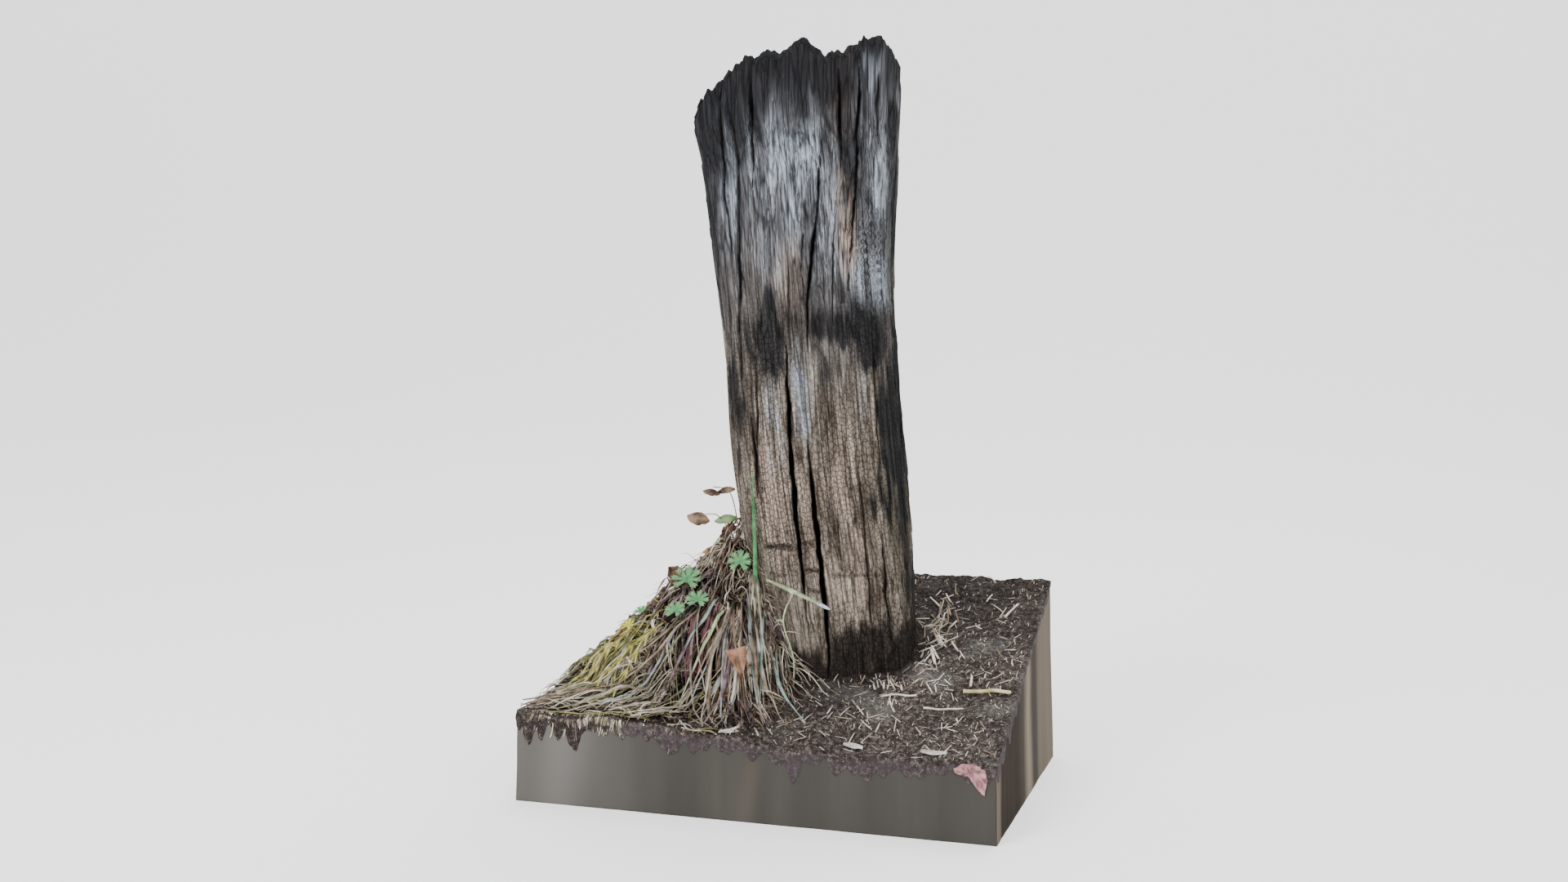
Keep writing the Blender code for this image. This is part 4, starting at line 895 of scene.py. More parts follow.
def make_stump():
    angles = column_angles()
    cracks = ready_cracks()
    rims = []
    for angle in angles:
        z = RIM_MIDDLE
        for _ in range(6):
            u, v = stump_wall(angle, z)
            z = top_height(value_at(LEAN, z) + u, v) + splinters(angle)
        rims.append(min(z, HIGHEST))
    points, grain, tones, growth_and_shade = [], [], [], []

    def place_point(u, v, z, rim, out, painted_shade):
        """Stores one point, with its place in the grain, its tones and its painted shade."""
        points.append(stump_point(value_at(LEAN, z) + u, v, z))
        grain.append((u, v, z))
        shares, mud = tone_shares(u, v, z, rim)
        craze = smooth((0.80 - z) / 0.14) * (0.75 + 0.5 * rough(u * 14, v * 14, z * 6)) * (1 - 0.9 * by_wrinkles(u, v, z))
        warm = smooth((0.80 + 0.08 * rough(u * 11, v * 11, z * 3) - z) / 0.26)
        tones.append((shares["char"], shares["silver"], shares["tan"], mud))
        growth_and_shade.append((shares["moss"], painted_shade, min(max(craze, 0.0), 1.0) * out, warm))

    for share in ring_shares():
        for angle, rim in zip(angles, rims):
            z = BURIED_FROM + (rim - BURIED_FROM) * share
            u, v = stump_wall(angle, z)
            deep, lip, way = crack_depth(cracks, u, v, z)
            stand = weathering(u, v, z) + lip
            if v < 0:
                stand += between_cracks(u, z) - notch_depth(u, z)
            # Towards the rim the wood splays into loose splinters.
            length = math.hypot(u, v)
            stand -= 0.006 * smooth((z - rim + 0.012) / 0.012)
            u, v = u * (1 + stand / length) - way[0] * deep, v * (1 + stand / length) - way[1] * deep
            # The last value is painted shade, dark deep in the cracks and notches.
            cut = notch_depth(u, z) if v < 0 else 0.0
            place_point(u, v, z, rim, 1.0, max(smooth(deep / 0.010), 0.8 * smooth(cut / 0.006)))
    for r in range(1, CAP_RINGS):
        inset = 1 - r / CAP_RINGS
        for angle, rim in zip(angles, rims):
            u, v = stump_wall(angle, rim)
            length = math.hypot(u, v)
            u, v = u * inset * (1 - 0.006 / length), v * inset * (1 - 0.006 / length)
            lean = value_at(LEAN, rim)
            crumble = 0.014 * rough((lean + u) * 34, v * 34, 7.0) + 0.006 * rough(u * 110, v * 110, 2.0)
            sunk = (HOLLOW + 0.006 - crumble) * (1 - inset**7)
            z = top_height(lean + u, v) + splinters(angle) * inset**10 - sunk
            # The hollow top is painted darker towards its middle, as shade.
            place_point(u, v, z, rim, 0.0, 0.35 * (1 - inset**4))
    place_point(0.0, 0.0, top_height(value_at(LEAN, RIM_MIDDLE), 0.0) - HOLLOW, RIM_MIDDLE, 0.0, 0.4)
    faces = []
    n = STUMP_COLUMNS
    for r in range(STUMP_RINGS + CAP_RINGS - 1):
        for i in range(n):
            k = (i + 1) % n
            faces.append((r * n + i, r * n + k, (r + 1) * n + k, (r + 1) * n + i))
    ring = (STUMP_RINGS + CAP_RINGS - 1) * n
    faces += [(ring + i, ring + (i + 1) % n, len(points) - 1) for i in range(n)]
    faces.append(tuple(reversed(range(n))))
    colours = {"grain": grain, "tones": tones, "growth_and_shade": growth_and_shade}
    return piece("stump_wood", points, faces, [WOOD], ["stump"], True, None, colours)


make_stump()


# The earth

SOIL_CELLS_X = 300
SOIL_CELLS_Y = 196
FRINGE_ROWS = 12
WALL_ROWS = 26
WALL_STEP = 0.005


def battered(x, y, z, out=0.0):
    """A place on or in the block, with its sides leaning in, moved out from the nearest side."""
    lean_in = 1 - BATTER * z
    p = Vector((x * lean_in, y * lean_in, z))
    if out:
        p.x += math.copysign(1, x) * out * (BLOCK_X / 2 - abs(x) < 1e-6)
        p.y += math.copysign(1, y) * out * (BLOCK_Y / 2 - abs(y) < 1e-6)
    return p


# Where the topsoil hangs down the front in long points: place, half width and how much further it reaches.
LONG_POINTS = (
    (-0.330, 0.011, 0.026),
    (-0.312, 0.010, 0.012),
    (-0.268, 0.024, 0.018),
    (-0.130, 0.030, 0.010),
    (0.066, 0.012, 0.034),
    (0.190, 0.030, 0.010),
)


def fringe_depth(x, y):
    """How far down the block's side the topsoil hangs: the solid's ragged line, with finer torn tips."""
    rag = 0.6 * rough(x * 31, y * 31, 1.0) + rough(x * 67, y * 67, 5.0)
    front = smooth((0.05 - y) / 0.2)
    edge = FRINGE_DEPTH * (0.55 + 0.45 * front) + FRINGE_RAG * rag * (0.5 + 0.5 * front)
    torn = 0.006 * rough(x * 120, y * 120, 2.0) + 0.0036 * rough(x * 310, y * 310, 7.0)
    torn *= 0.45 + 1.1 * smooth((-0.14 - x) / 0.1)
    if y < -BLOCK_Y / 2 + 1e-6:
        for place, half_width, further in LONG_POINTS:
            edge += further * max(1 - abs(x - place) / half_width, 0.0) ** 0.6
    return max(edge, 0.008) + torn * (0.4 + 0.6 * front)


def make_topsoil():
    nx, ny = SOIL_CELLS_X, SOIL_CELLS_Y
    points, tones = [], []
    for j in range(ny + 1):
        for i in range(nx + 1):
            x, y = (i / nx - 0.5) * BLOCK_X, (j / ny - 0.5) * BLOCK_Y
            z = ground(x, y) + crumbs(x, y)
            points.append(battered(x, y, z))
            dry = smooth(rough(x * 15, y * 15, 21.0) * 2.2 - 0.1) * smooth((x + 0.05) / 0.2)
            # Painted shade: darker soil at the stump's front foot, in a ring round the stump and under the grass at the
            # left; darker towards the back too.
            damp_and_shade = 0.9 * math.exp(-(((x - 0.030) / 0.050) ** 2) - ((y + 0.085) / 0.050) ** 2)
            damp_and_shade = max(damp_and_shade, 0.65 * smooth((1.32 - beside_stump(x, y, z)[2]) / 0.25), 0.35 * smooth((y - 0.02) / 0.1))
            damp_and_shade = max(damp_and_shade, 0.85 * smooth((1.55 - thatch_distance(x, y)) / 0.3) * smooth((-0.08 - x) / 0.06))
            tones.append((0.0, 0.75 * dry * (1 - damp_and_shade), damp_and_shade, 1.0))
    faces = []
    row = nx + 1
    for j in range(ny):
        for i in range(nx):
            a = j * row + i
            faces.append((a, a + 1, a + row + 1, a + row))
    rim = [i for i in range(nx)]
    rim += [j * row + nx for j in range(ny)]
    rim += [ny * row + i for i in range(nx, 0, -1)]
    rim += [j * row for j in range(ny, 0, -1)]
    above = rim
    for r in range(1, FRINGE_ROWS + 1):
        first = len(points)
        for index in rim:
            j, i = divmod(index, row)
            x, y = (i / nx - 0.5) * BLOCK_X, (j / ny - 0.5) * BLOCK_Y
            top = points[index].z
            share = min(r / (FRINGE_ROWS - 1), 1.0)
            z = top - (fringe_depth(x, y) + crumbs(x, y)) * share
            lump = 0.0012 + 0.0016 * rough(x * 120, y * 120, z * 120) + 0.0010 * rough(x * 300, y * 300, z * 90)
            out = max(lump, 0.0) * math.sin(math.pi * share) + 0.0002 if r < FRINGE_ROWS else -0.0030
            points.append(battered(x, y, z, min(out, 0.0009 if x > 0.27 else 0.0016)))
            streak = 0.5 + 0.5 * rough(x * 150, y * 150, z * 30)
            mauve = (0.22 + 0.36 * smooth((x + 0.24) / 0.12)) * (1 + 0.7 * rough(x * 24, y * 24, z * 24)) * smooth(share * 2.5)
            wet = 0.55 * smooth((-0.19 - x) / 0.06) * smooth(share * 3)
            tones.append((min(mauve, 0.9), 0.50 * smooth(streak * 2 - 1.1) * smooth(share * 2), wet, 1.0))
        below = [first + k for k in range(len(rim))]
        for k in range(len(rim)):
            m = (k + 1) % len(rim)
            faces.append((above[m], above[k], below[k], below[m]))
        above = below
    return piece("crumbled_topsoil", points, faces, [SOIL], ["topsoil"], True, None, {"tones": tones})


def side_path():
    """Places round the block's plan at even steps, starting at the front left corner."""
    corners = [(-0.5, -0.5), (0.5, -0.5), (0.5, 0.5), (-0.5, 0.5)]
    places = []
    for (x0, y0), (x1, y1) in zip(corners, corners[1:] + corners[:1]):
        length = math.hypot((x1 - x0) * BLOCK_X, (y1 - y0) * BLOCK_Y)
        count = round(length / WALL_STEP)
        for k in range(count):
            t = k / count
            places.append(((x0 + (x1 - x0) * t) * BLOCK_X, (y0 + (y1 - y0) * t) * BLOCK_Y))
    return places


def make_cut_block():
    places = side_path()
    count = len(places)
    points, tones = [], []
    for r in range(WALL_ROWS + 1):
        share = r / WALL_ROWS
        for x, y in places:
            z = share * (ground(x, y) - 0.004)
            along = x if abs(y) > BLOCK_Y / 2 - 1e-6 else y
            hollow = 0.0010 * (0.5 + rough(along * 14, z * 5, 4.0)) + 0.0004 * (0.5 + rough(along * 60, z * 9, 8.0))
            hollow *= smooth((ground(x, y) - z - 0.03) / 0.06)
            points.append(battered(x, y, z, -max(hollow, 0.0) - 0.0006))
            pale = tan = dark = 0.0
            if y < -BLOCK_Y / 2 + 1e-6:
                pale = 0.95 * smooth((-0.10 - x) / 0.22) * (0.75 + 0.5 * rough(along * 16, z * 3, 2.0))
                tan = 0.10 * math.exp(-(((x + 0.005 - 0.14 * z) / 0.014) ** 2)) * smooth((0.12 - z) / 0.05)
                dark = 0.08 * smooth(rough(along * 7, z * 2, 11.0) * 2)
            elif x > BLOCK_X / 2 - 1e-6:
                drift = along + 0.010 * rough(along * 40, z * 1.5, 6.0)
                tan = 0.90 * math.exp(-(((drift - 0.020) / 0.026) ** 2)) + 0.50 * smooth((drift - 0.07) / 0.05)
                tan = min(max(tan, 0.50 * smooth((-0.185 - drift) / 0.02), 0.04), 1) * (0.85 + 0.3 * rough(along * 75, z, 5.0))
                # Painted shade: the right side is darkened to near black, most at its front, under its tan bands.
                dark = 0.60 + 0.39 * smooth((-0.02 - drift) / 0.05)
            else:
                stripe = rough(along * 18, z * 1.5, 7.0)
                tan = 0.22 * smooth(stripe * 2)
                dark = 0.22 * smooth(-stripe * 2)
            tones.append((min(max(pale, 0), 1), tan, dark, 1.0))
    faces = []
    for r in range(WALL_ROWS):
        for i in range(count):
            k = (i + 1) % count
            faces.append((r * count + i, r * count + k, (r + 1) * count + k, (r + 1) * count + i))
    faces.append(tuple(reversed(range(count))))
    points.append(Vector((0, 0, 0.14)))
    tones.append((0.0, 0.0, 0.0, 1.0))
    top = WALL_ROWS * count
    faces += [(top + i, top + (i + 1) % count, len(points) - 1) for i in range(count)]
    return piece("cut_block", points, faces, [CLAY], ["base_block"], True, None, {"tones": tones})


make_topsoil()
make_cut_block()


# Straw and chips on the soil

LITTER_COUNT = 1500
PILE_COUNT = 56


def on_soil(x, y, lift=0.0):
    """A place on the fine soil."""
    z = ground(x, y) + crumbs(x, y) + lift
    return within_block(Vector((x * (1 - BATTER * z), y * (1 - BATTER * z), z)), 0.001)


def litter_piece(bundle, rng, x, y, length, width, heading, slot, tilt=0.0):
    """A bit of broken straw: nearly straight, one end a little proud of the soil."""
    step_x, step_y = math.cos(heading) * length / 2, math.sin(heading) * length / 2
    bend = rng.uniform(-0.05, 0.05) * length
    path = []
    for k in (-1, -0.33, 0.33, 1):
        px = x + step_x * k - math.sin(heading) * bend * (1 - k * k)
        py = y + step_y * k + math.cos(heading) * bend * (1 - k * k)
        path.append((px, py, k))
    heights = [on_soil(px, py).z for px, py, _ in path]
    ends = heights[0], heights[-1]
    rest = max(h - (ends[0] + (ends[1] - ends[0]) * (k + 1) / 2) for h, (_, _, k) in zip(heights, path))
    points = []
    for px, py, k in path:
        z = ends[0] + (ends[1] - ends[0]) * (k + 1) / 2 + rest * 0.8 + width * 0.35 + tilt * (k + 1)
        points.append(clear_of_stump(within_block(Vector((px * (1 - BATTER * z), py * (1 - BATTER * z), z))), 1.02))
    if all((a - b).length > 1e-4 for a, b in zip(points, points[1:])):
        bundle.blade(points, width, width * 0.35, (0, 0, 1), slot, tip=0.75, twist=rng.uniform(-0.5, 0.5), root=0.9)


def make_litter():
    rng = random.Random(21)
    bundle = Bundle()
    placed = 0
    while placed < LITTER_COUNT:
        x, y = rng.uniform(-0.345, 0.345), rng.uniform(-0.225, 0.225)
        out = thatch_distance(x, y)
        if out < 0.95 or beside_stump(x, y, ground(x, y) + 0.02)[2] < 1.04:
            continue
        # Straw gathers in drifts.
        drift = 0.35 + 0.9 * smooth(0.5 + rough(x * 16, y * 16, 31.0))
        if rng.random() > drift * (1 - 0.6 * smooth((y - 0.02) / 0.12)):
            continue
        placed += 1
        length = 0.0028 + 0.026 * rng.random() ** 5.5
        width = min(0.0010 + length * 0.05, 0.0028) * rng.uniform(0.7, 1.3)
        tone = rng.random()
        slot = 0 if tone < 0.66 else 1 if tone < 0.78 else 2 if tone < 0.90 else 3
        litter_piece(bundle, rng, x, y, length, width, rng.uniform(0, math.pi), slot, rng.choice((0, 0, 0, 0.0015)))
    # A drift of straw against the stump's right side, and one at its front right corner.
    for spot, reach, count in (((0.205, 0.075), (0.018, 0.060), PILE_COUNT), ((0.168, -0.066), (0.034, 0.010), 16)):
        for _ in range(count):
            x, y = spot[0] + rng.gauss(0, reach[0] * 0.6), spot[1] + rng.gauss(0, reach[1] * 0.6)
            if beside_stump(x, y, ground(x, y) + 0.02)[2] < 1.04:
                continue
            length = rng.uniform(0.008, 0.008 + reach[1] * 0.45)
            slot = rng.choice((0, 0, 1, 1, 2))
            litter_piece(bundle, rng, x, y, length, rng.uniform(0.0018, 0.0036), rng.uniform(0, math.pi), slot,
                         rng.uniform(0, 0.005))
    bundle.piece("straw_litter", [STRAW, GRASS[TAN], GRASS[GREY], GRASS[BROWN]], ["topsoil"], "topsoil")


def make_long_straws():
    """The six long straws and three pale chips, each over its own solid."""
    rng = random.Random(8)
    straws = (
        ((0.268, -0.070), (0.334, -0.062), 0.0056, 1),
        ((0.276, -0.058), (0.272, -0.030), 0.0038, 0),
        ((0.156, -0.098), (0.206, -0.092), 0.0030, 0),
        ((0.200, 0.024), (0.214, -0.012), 0.0046, 0),
        ((0.222, -0.118), (0.276, -0.108), 0.0030, 0),
        ((0.290, 0.120), (0.304, 0.150), 0.0036, 0),
    )
    for number, (start, end, width, tone) in enumerate(straws, 1):
        bundle = Bundle()
        path = []
        for k in range(9):
            x, y = Vector(start).lerp(Vector(end), k / 8)
            z = ground(x, y) + 0.0028 + 0.0010 * rough(x * 60, y * 60, 3.0)
            path.append(Vector((x, y, z)))
        bundle.stalk(path, width / 2, 0, 0.9, 10)
        # Split fibres at the broken end.
        for _ in range(4):
            away = (path[-1] - path[-2]).normalized() + Vector([rng.uniform(-0.25, 0.25) for _ in range(3)])
            tip = [path[-2] + away * 0.004 * k for k in range(3)]
            bundle.blade(tip, width * 0.4, 0.0004, (0, 0, 1), 0, 0.3)
        bundle.piece(f"straw_stem_{number}", [(STRAW, YELLOW_STRAW)[tone]], [f"long_straw_{number}"], "straw")
    chips = (
        ((-0.044, -0.214), (-0.018, -0.212), 0.0100),
        ((0.132, -0.207), (0.160, -0.212), 0.0110),
        ((0.240, -0.210), (0.276, -0.211), 0.0080),
    )
    for number, (start, end, width) in enumerate(chips, 1):
        bundle = Bundle()
        grid = []
        for k in range(9):
            t = k / 8
            x, y = Vector(start).lerp(Vector(end), t)
            row = []
            half = width / 2 * (0.35 + 0.75 * math.sin(math.pi * min(t * 1.1 + 0.05, 1.0)) + 0.1 * rough(t * 6, number))
            for m in range(7):
                side = (m / 3 - 1) * half
                lift = 0.0030 + 0.0016 * (1 - (m / 3 - 1) ** 2) + 0.0006 * rough(x * 220, side * 300, 1.0)
                row.append(within_block(Vector((x, y + side, ground(x, y + side) + lift)), 0.002))
            grid.append(row)
        bundle.sheet(grid, 0.0022)
        bundle.piece(f"bark_chip_{number}", [BARK_CHIP], [f"pale_chip_{number}"], "straw")


def make_pink_leaf():
    """A crumpled pink leaf that hangs over the block's front right corner: one lobe lies left, one hangs down."""
    bundle = Bundle()
    top = ground(0.33, -0.226)
    # Each row runs across the leaf: how far right it lies, and how far below the soil's edge.
    lobes = (
        ((0.293, -0.007), (0.306, 0.001), (0.322, 0.002), (0.337, -0.006)),
        ((0.295, -0.012), (0.311, -0.010), (0.321, -0.011), (0.340, -0.020)),
        ((0.300, -0.014), (0.314, -0.016), (0.326, -0.032), (0.336, -0.041)),
    )
    grid, tones = [], []
    for r in range(13):
        across = r / 12 * 2
        a = min(int(across), 1)
        row = []
        for c in range(19):
            along = c / 18 * 3
            b = min(int(along), 2)
            upper = Vector(lobes[a][b]).lerp(Vector(lobes[a][b + 1]), along - b)
            lower = Vector(lobes[a + 1][b]).lerp(Vector(lobes[a + 1][b + 1]), along - b)
            x, drop = upper.lerp(lower, across - a)
            edge = abs(across - 1) ** 3
            x += 0.0016 * edge * rough(along * 4, across, 5.0)
            z = top + drop + 0.0022 * edge * rough(along * 5, across, 8.0)
            crease = rough(x * 150, z * 110, 4.0)
            y = -BLOCK_Y / 2 * (1 - BATTER * z) - 0.0018 + 0.0007 * crease
            row.append(Vector((x * 0.985, max(y, -BLOCK_Y / 2 + 0.0006), z)))
            fold = math.exp(-((crease / 0.16) ** 2))
            tones.append((0.9 * fold, 0.7 * smooth(rough(x * 130, z * 130, 9.0) * 2.2), 0.0, 1.0))
        grid.append(row)
    bundle.sheet(grid, 0.0008, 0, tones)
    bundle.piece("pink_leaf", [PINK_LEAF], ["topsoil"], "dead_leaf")


make_litter()
make_long_straws()
make_pink_leaf()


# The tussock

CORE_SECTORS = 240
CORE_RINGS = 60
THATCH_BLADES = 820
FRONT_BLADES = 30
SIDE_STRAWS = 250
WISPS = 150
EDGE_STRANDS = 26
TORN_STRANDS = 110
DEAD_FLECKS = 26

PALE_MIX = (PALE, PALE, FADED, FADED, YELLOW, TAN)
GREY_MIX = (GREY, GREY, BROWN, ROTTING_AND_SHADE, MAUVE, TAN, PALE, PALE)
BROWN_MIX = (BROWN, BROWN, ROTTING_AND_SHADE, TAN, TAN, MAUVE, PALE)
COOL_MIX = (BLUISH, BLUISH, PALE, PALE, FADED)
GOLD_MIX = (YELLOW, YELLOW, LEMON, FADED, PALE)

# Locks of grass: where each starts and ends in plan, how many blades, how wide they spread at the root and
# fan at the tip, their widths in millimetres, their tones, and how far they bow off the thatch.
LOCKS = (
    ((-0.067, 0.000), (-0.107, -0.068), 18, 0.012, 0.30, (2.0, 4.0), BROWN_MIX, 0.010),
    ((-0.085, -0.030), (-0.087, -0.095), 16, 0.012, 0.35, (2.0, 4.0), BROWN_MIX, 0.012),
    ((-0.090, -0.043), (-0.142, -0.047), 12, 0.010, 0.35, (2.0, 3.6), PALE_MIX, 0.010),
    ((-0.050, -0.066), (-0.014, -0.104), 20, 0.008, 0.30, (2.6, 5.0), (FADED, FADED, PALE, GREY), 0.018),
    ((-0.056, -0.092), (-0.066, -0.158), 16, 0.008, 0.24, (2.2, 4.4), BROWN_MIX, 0.014),
    ((-0.070, -0.092), (-0.010, -0.124), 16, 0.010, 0.30, (2.2, 4.2), BROWN_MIX, 0.014),
    ((-0.050, -0.120), (-0.018, -0.180), 18, 0.010, 0.30, (2.4, 4.6), GREY_MIX, 0.014),
    ((-0.134, -0.100), (-0.136, -0.160), 9, 0.008, 0.20, (2.0, 3.8), (MAUVE, MAUVE, BROWN, GREY), 0.012),
    ((-0.150, -0.108), (-0.126, -0.178), 18, 0.012, 0.30, (2.2, 4.0), GREY_MIX, 0.014),
    ((-0.082, -0.100), (-0.055, -0.184), 20, 0.012, 0.34, (2.2, 4.8), GREY_MIX, 0.014),
    ((-0.030, -0.106), (0.006, -0.192), 16, 0.010, 0.30, (3.0, 6.0), COOL_MIX, 0.016),
    ((-0.040, -0.140), (-0.070, -0.206), 12, 0.010, 0.40, (2.6, 5.0), COOL_MIX, 0.010),
    ((-0.165, -0.116), (-0.174, -0.156), 14, 0.010, 0.40, (2.0, 4.0), (BROWN, BROWN, MAUVE, TAN), 0.012),
    ((-0.190, -0.090), (-0.262, -0.108), 20, 0.016, 0.45, (2.4, 5.0), GOLD_MIX, 0.016),
    ((-0.215, -0.076), (-0.280, -0.150), 18, 0.016, 0.40, (2.4, 4.6), GOLD_MIX, 0.014),
    ((-0.235, -0.098), (-0.160, -0.168), 16, 0.014, 0.40, (2.2, 4.4), PALE_MIX, 0.012),
    ((-0.267, -0.060), (-0.325, -0.200), 24, 0.016, 0.30, (2.4, 4.2), PALE_MIX, 0.008),
    ((-0.155, -0.140), (-0.290, -0.212), 22, 0.014, 0.22, (2.6, 5.6), (PALE, PALE, FADED), 0.016),
    ((-0.125, -0.158), (-0.205, -0.216), 20, 0.014, 0.30, (2.4, 5.0), (GREY, PALE, PALE, PALE, FADED), 0.014),
    ((-0.080, -0.172), (-0.170, -0.222), 16, 0.012, 0.26, (2.2, 4.6), (PALE, PALE, FADED), 0.012),
    ((-0.235, -0.150), (-0.330, -0.190), 16, 0.014, 0.30, (2.4, 5.0), (PALE, PALE, FADED, TAN), 0.012),
    ((-0.270, -0.185), (-0.338, -0.214), 14, 0.012, 0.40, (2.2, 4.6), (PALE, PALE, TAN), 0.008),
    ((-0.012, -0.098), (0.044, -0.050), 9, 0.006, 0.40, (1.4, 2.6), (PALE, GREY, FADED), 0.016),
    ((0.004, -0.086), (0.022, -0.146), 9, 0.006, 0.45, (1.4, 3.0), (PALE, GREY, FADED), 0.016),
    ((0.004, -0.090), (0.072, -0.116), 8, 0.006, 0.35, (1.4, 2.8), (PALE, TAN, GREY), 0.012),
)


def make_core():
    """The middle of the tussock: furrowed down its sides, and painted near black as the shade between the blades."""
    points, faces = [], []
    for r in range(CORE_RINGS + 1):
        out = 1.02 * (1 - r / (CORE_RINGS + 1))
        for k in range(CORE_SECTORS):
            bearing = 2 * math.pi * k / CORE_SECTORS
            x, y = thatch_place(bearing, out)
            furrow = 0.010 * rough(bearing * 14, out * 2.2, 3.0) + 0.005 * rough(bearing * 40, out * 5, 9.0)
            z = thatch_top(x, y) + 1.3 * clumps(x, y) - 0.011 + furrow * smooth(out * 4)
            if r == 0:
                z = ground(x, y) - 0.004
            points.append(within_block(Vector((x, y, z)), 0.004))
    for r in range(CORE_RINGS):
        for k in range(CORE_SECTORS):
            m = (k + 1) % CORE_SECTORS
            a, b = r * CORE_SECTORS, (r + 1) * CORE_SECTORS
            faces.append((a + k, a + m, b + m, b + k))
    points.append(Vector((*THATCH_AT, thatch_top(*THATCH_AT) - 0.006)))
    last = CORE_RINGS * CORE_SECTORS
    faces += [(last + k, last + (k + 1) % CORE_SECTORS, len(points) - 1) for k in range(CORE_SECTORS)]
    piece("thatch_core", points, faces, [GRASS[ROTTING_AND_SHADE]], ["tussock"])


def tone_at(rng, x, y):
    """Neighbouring blades share a tone: pale and yellow to the left, mauve and brown in the middle."""
    lock = rough(x * 34, y * 34, 2.0)
    if x < -0.17 and y < 0.02:
        return rng.choice(GOLD_MIX if lock > 0.15 else PALE_MIX)
    return rng.choice(BROWN_MIX if lock > 0 else GREY_MIX)


def drape(root, bend, tip, bow, steps, lift=0.0025, rise=0.0):
    """Points of a blade that leaves the tussock at root and bows over it to its tip, each given in plan."""
    path = []
    for i in range(steps + 1):
        t = i / steps
        x, y = Vector(root) * (1 - t) ** 2 + Vector(bend) * 2 * t * (1 - t) + Vector(tip) * t**2
        z = covered(x, y) + lift * min(4 * t, 1) + bow * math.sin(math.pi * t) + rise * t * t
        if i == 0:
            z -= 0.006
        path.append(clear_of_stump(within_block(Vector((x, y, z)), 0.004), 1.04))
    return path


def well_spaced(path, least=0.0008):
    """The path without points that fall on the one before."""
    kept = [path[0]]
    for p in path[1:]:
        if (p - kept[-1]).length > least:
            kept.append(p)
    return kept


def hang(bundle, rng, bearing, start, end, swerve, bow, lift, width, tone):
    """One dead blade that sets out from this share of the way down the tussock and hangs to another."""
    root = thatch_place(bearing, start)
    bend = thatch_place(bearing + 0.25 * swerve, (start + end) / 2)
    tip = thatch_place(bearing + swerve, end)
    path = well_spaced(drape(root, bend, tip, bow, 9, lift))
    if len(path) < 4:
        return
    outward = (math.cos(bearing), math.sin(bearing), 0.8)
    bundle.blade(path, width, 0.0004, outward, tone, tip=rng.uniform(0.1, 0.5), twist=rng.uniform(-1.6, 1.6),
                 dark=0.3 * rng.random() ** 2, root_shade=0.8)


def stray(bundle, rng, x, y, length, width, tone, lift, bow):
    """One blade that follows the lie of the thatch: downhill, with swirls that its neighbours share."""
    steps = 8
    path = []
    own_turn, curl = rng.gauss(0, 0.75), rng.gauss(0, 1.9)
    for i in range(steps + 1):
        t = i / steps
        z = covered(x, y) + lift * min(4 * t, 1) + bow * math.sin(math.pi * t) - (0.006 if i == 0 else 0)
        path.append(clear_of_stump(within_block(Vector((x, y, z)), 0.004), 1.04))
        outward = math.atan2(y - THATCH_AT[1], x - THATCH_AT[0])
        heading = outward + 1.5 * rough(x * 19, y * 19, 40.0) + own_turn + curl * (t - 0.3)
        x += length / steps * math.cos(heading)
        y += length / steps * math.sin(heading)
    path = well_spaced(path)
    if len(path) > 3:
        bundle.blade(path, width, 0.0004, (math.cos(heading), math.sin(heading), 1.4), tone,
                     tip=rng.uniform(0.1, 0.5), twist=rng.uniform(-1.8, 1.8), dark=0.6 * rng.random() ** 2, root_shade=0.8)


def make_lock(bundle, rng, start, end, count, spread, fan, widths, tones, bow):
    """Blades that share a root and a lie, and splay towards their tips."""
    way = Vector(end) - Vector(start)
    for _ in range(count):
        root = Vector(start) + Vector((rng.gauss(0, spread * 0.6), rng.gauss(0, spread * 0.6)))
        along = Matrix.Rotation(rng.gauss(0, fan * 0.7), 2) @ way * rng.uniform(0.55, 1.12)
        aside = Vector((-along.y, along.x)) * rng.gauss(0, 0.13)
        path = drape(root, root + along / 2 + aside, root + along, bow * rng.uniform(0.2, 1.4), 11, rng.uniform(0.003, 0.014))
        sway = rng.uniform(0, 50)
        for i, p in enumerate(path[1:], 1):
            shift = (0.0035 + 0.030 * way.length) * min(i / 4, 1)
            p.x += shift * rough(i * 0.33, sway)
            p.y += shift * rough(i * 0.33, sway, 9.0)
            p.z += 0.5 * shift * rough(i * 0.4, sway, 5.0)
        path = well_spaced([clear_of_stump(within_block(p, 0.004), 1.04) for p in path])
        if len(path) > 3:
            width = rng.uniform(*widths) / 1000
            bundle.blade(path, width, 0.0005, (way.x * 3, way.y * 3 - 0.3, 1.0), rng.choice(tones),
                         tip=rng.uniform(0.15, 0.6), twist=rng.uniform(-1.3, 1.3), dark=0.5 * rng.random() ** 3, root_shade=0.6)


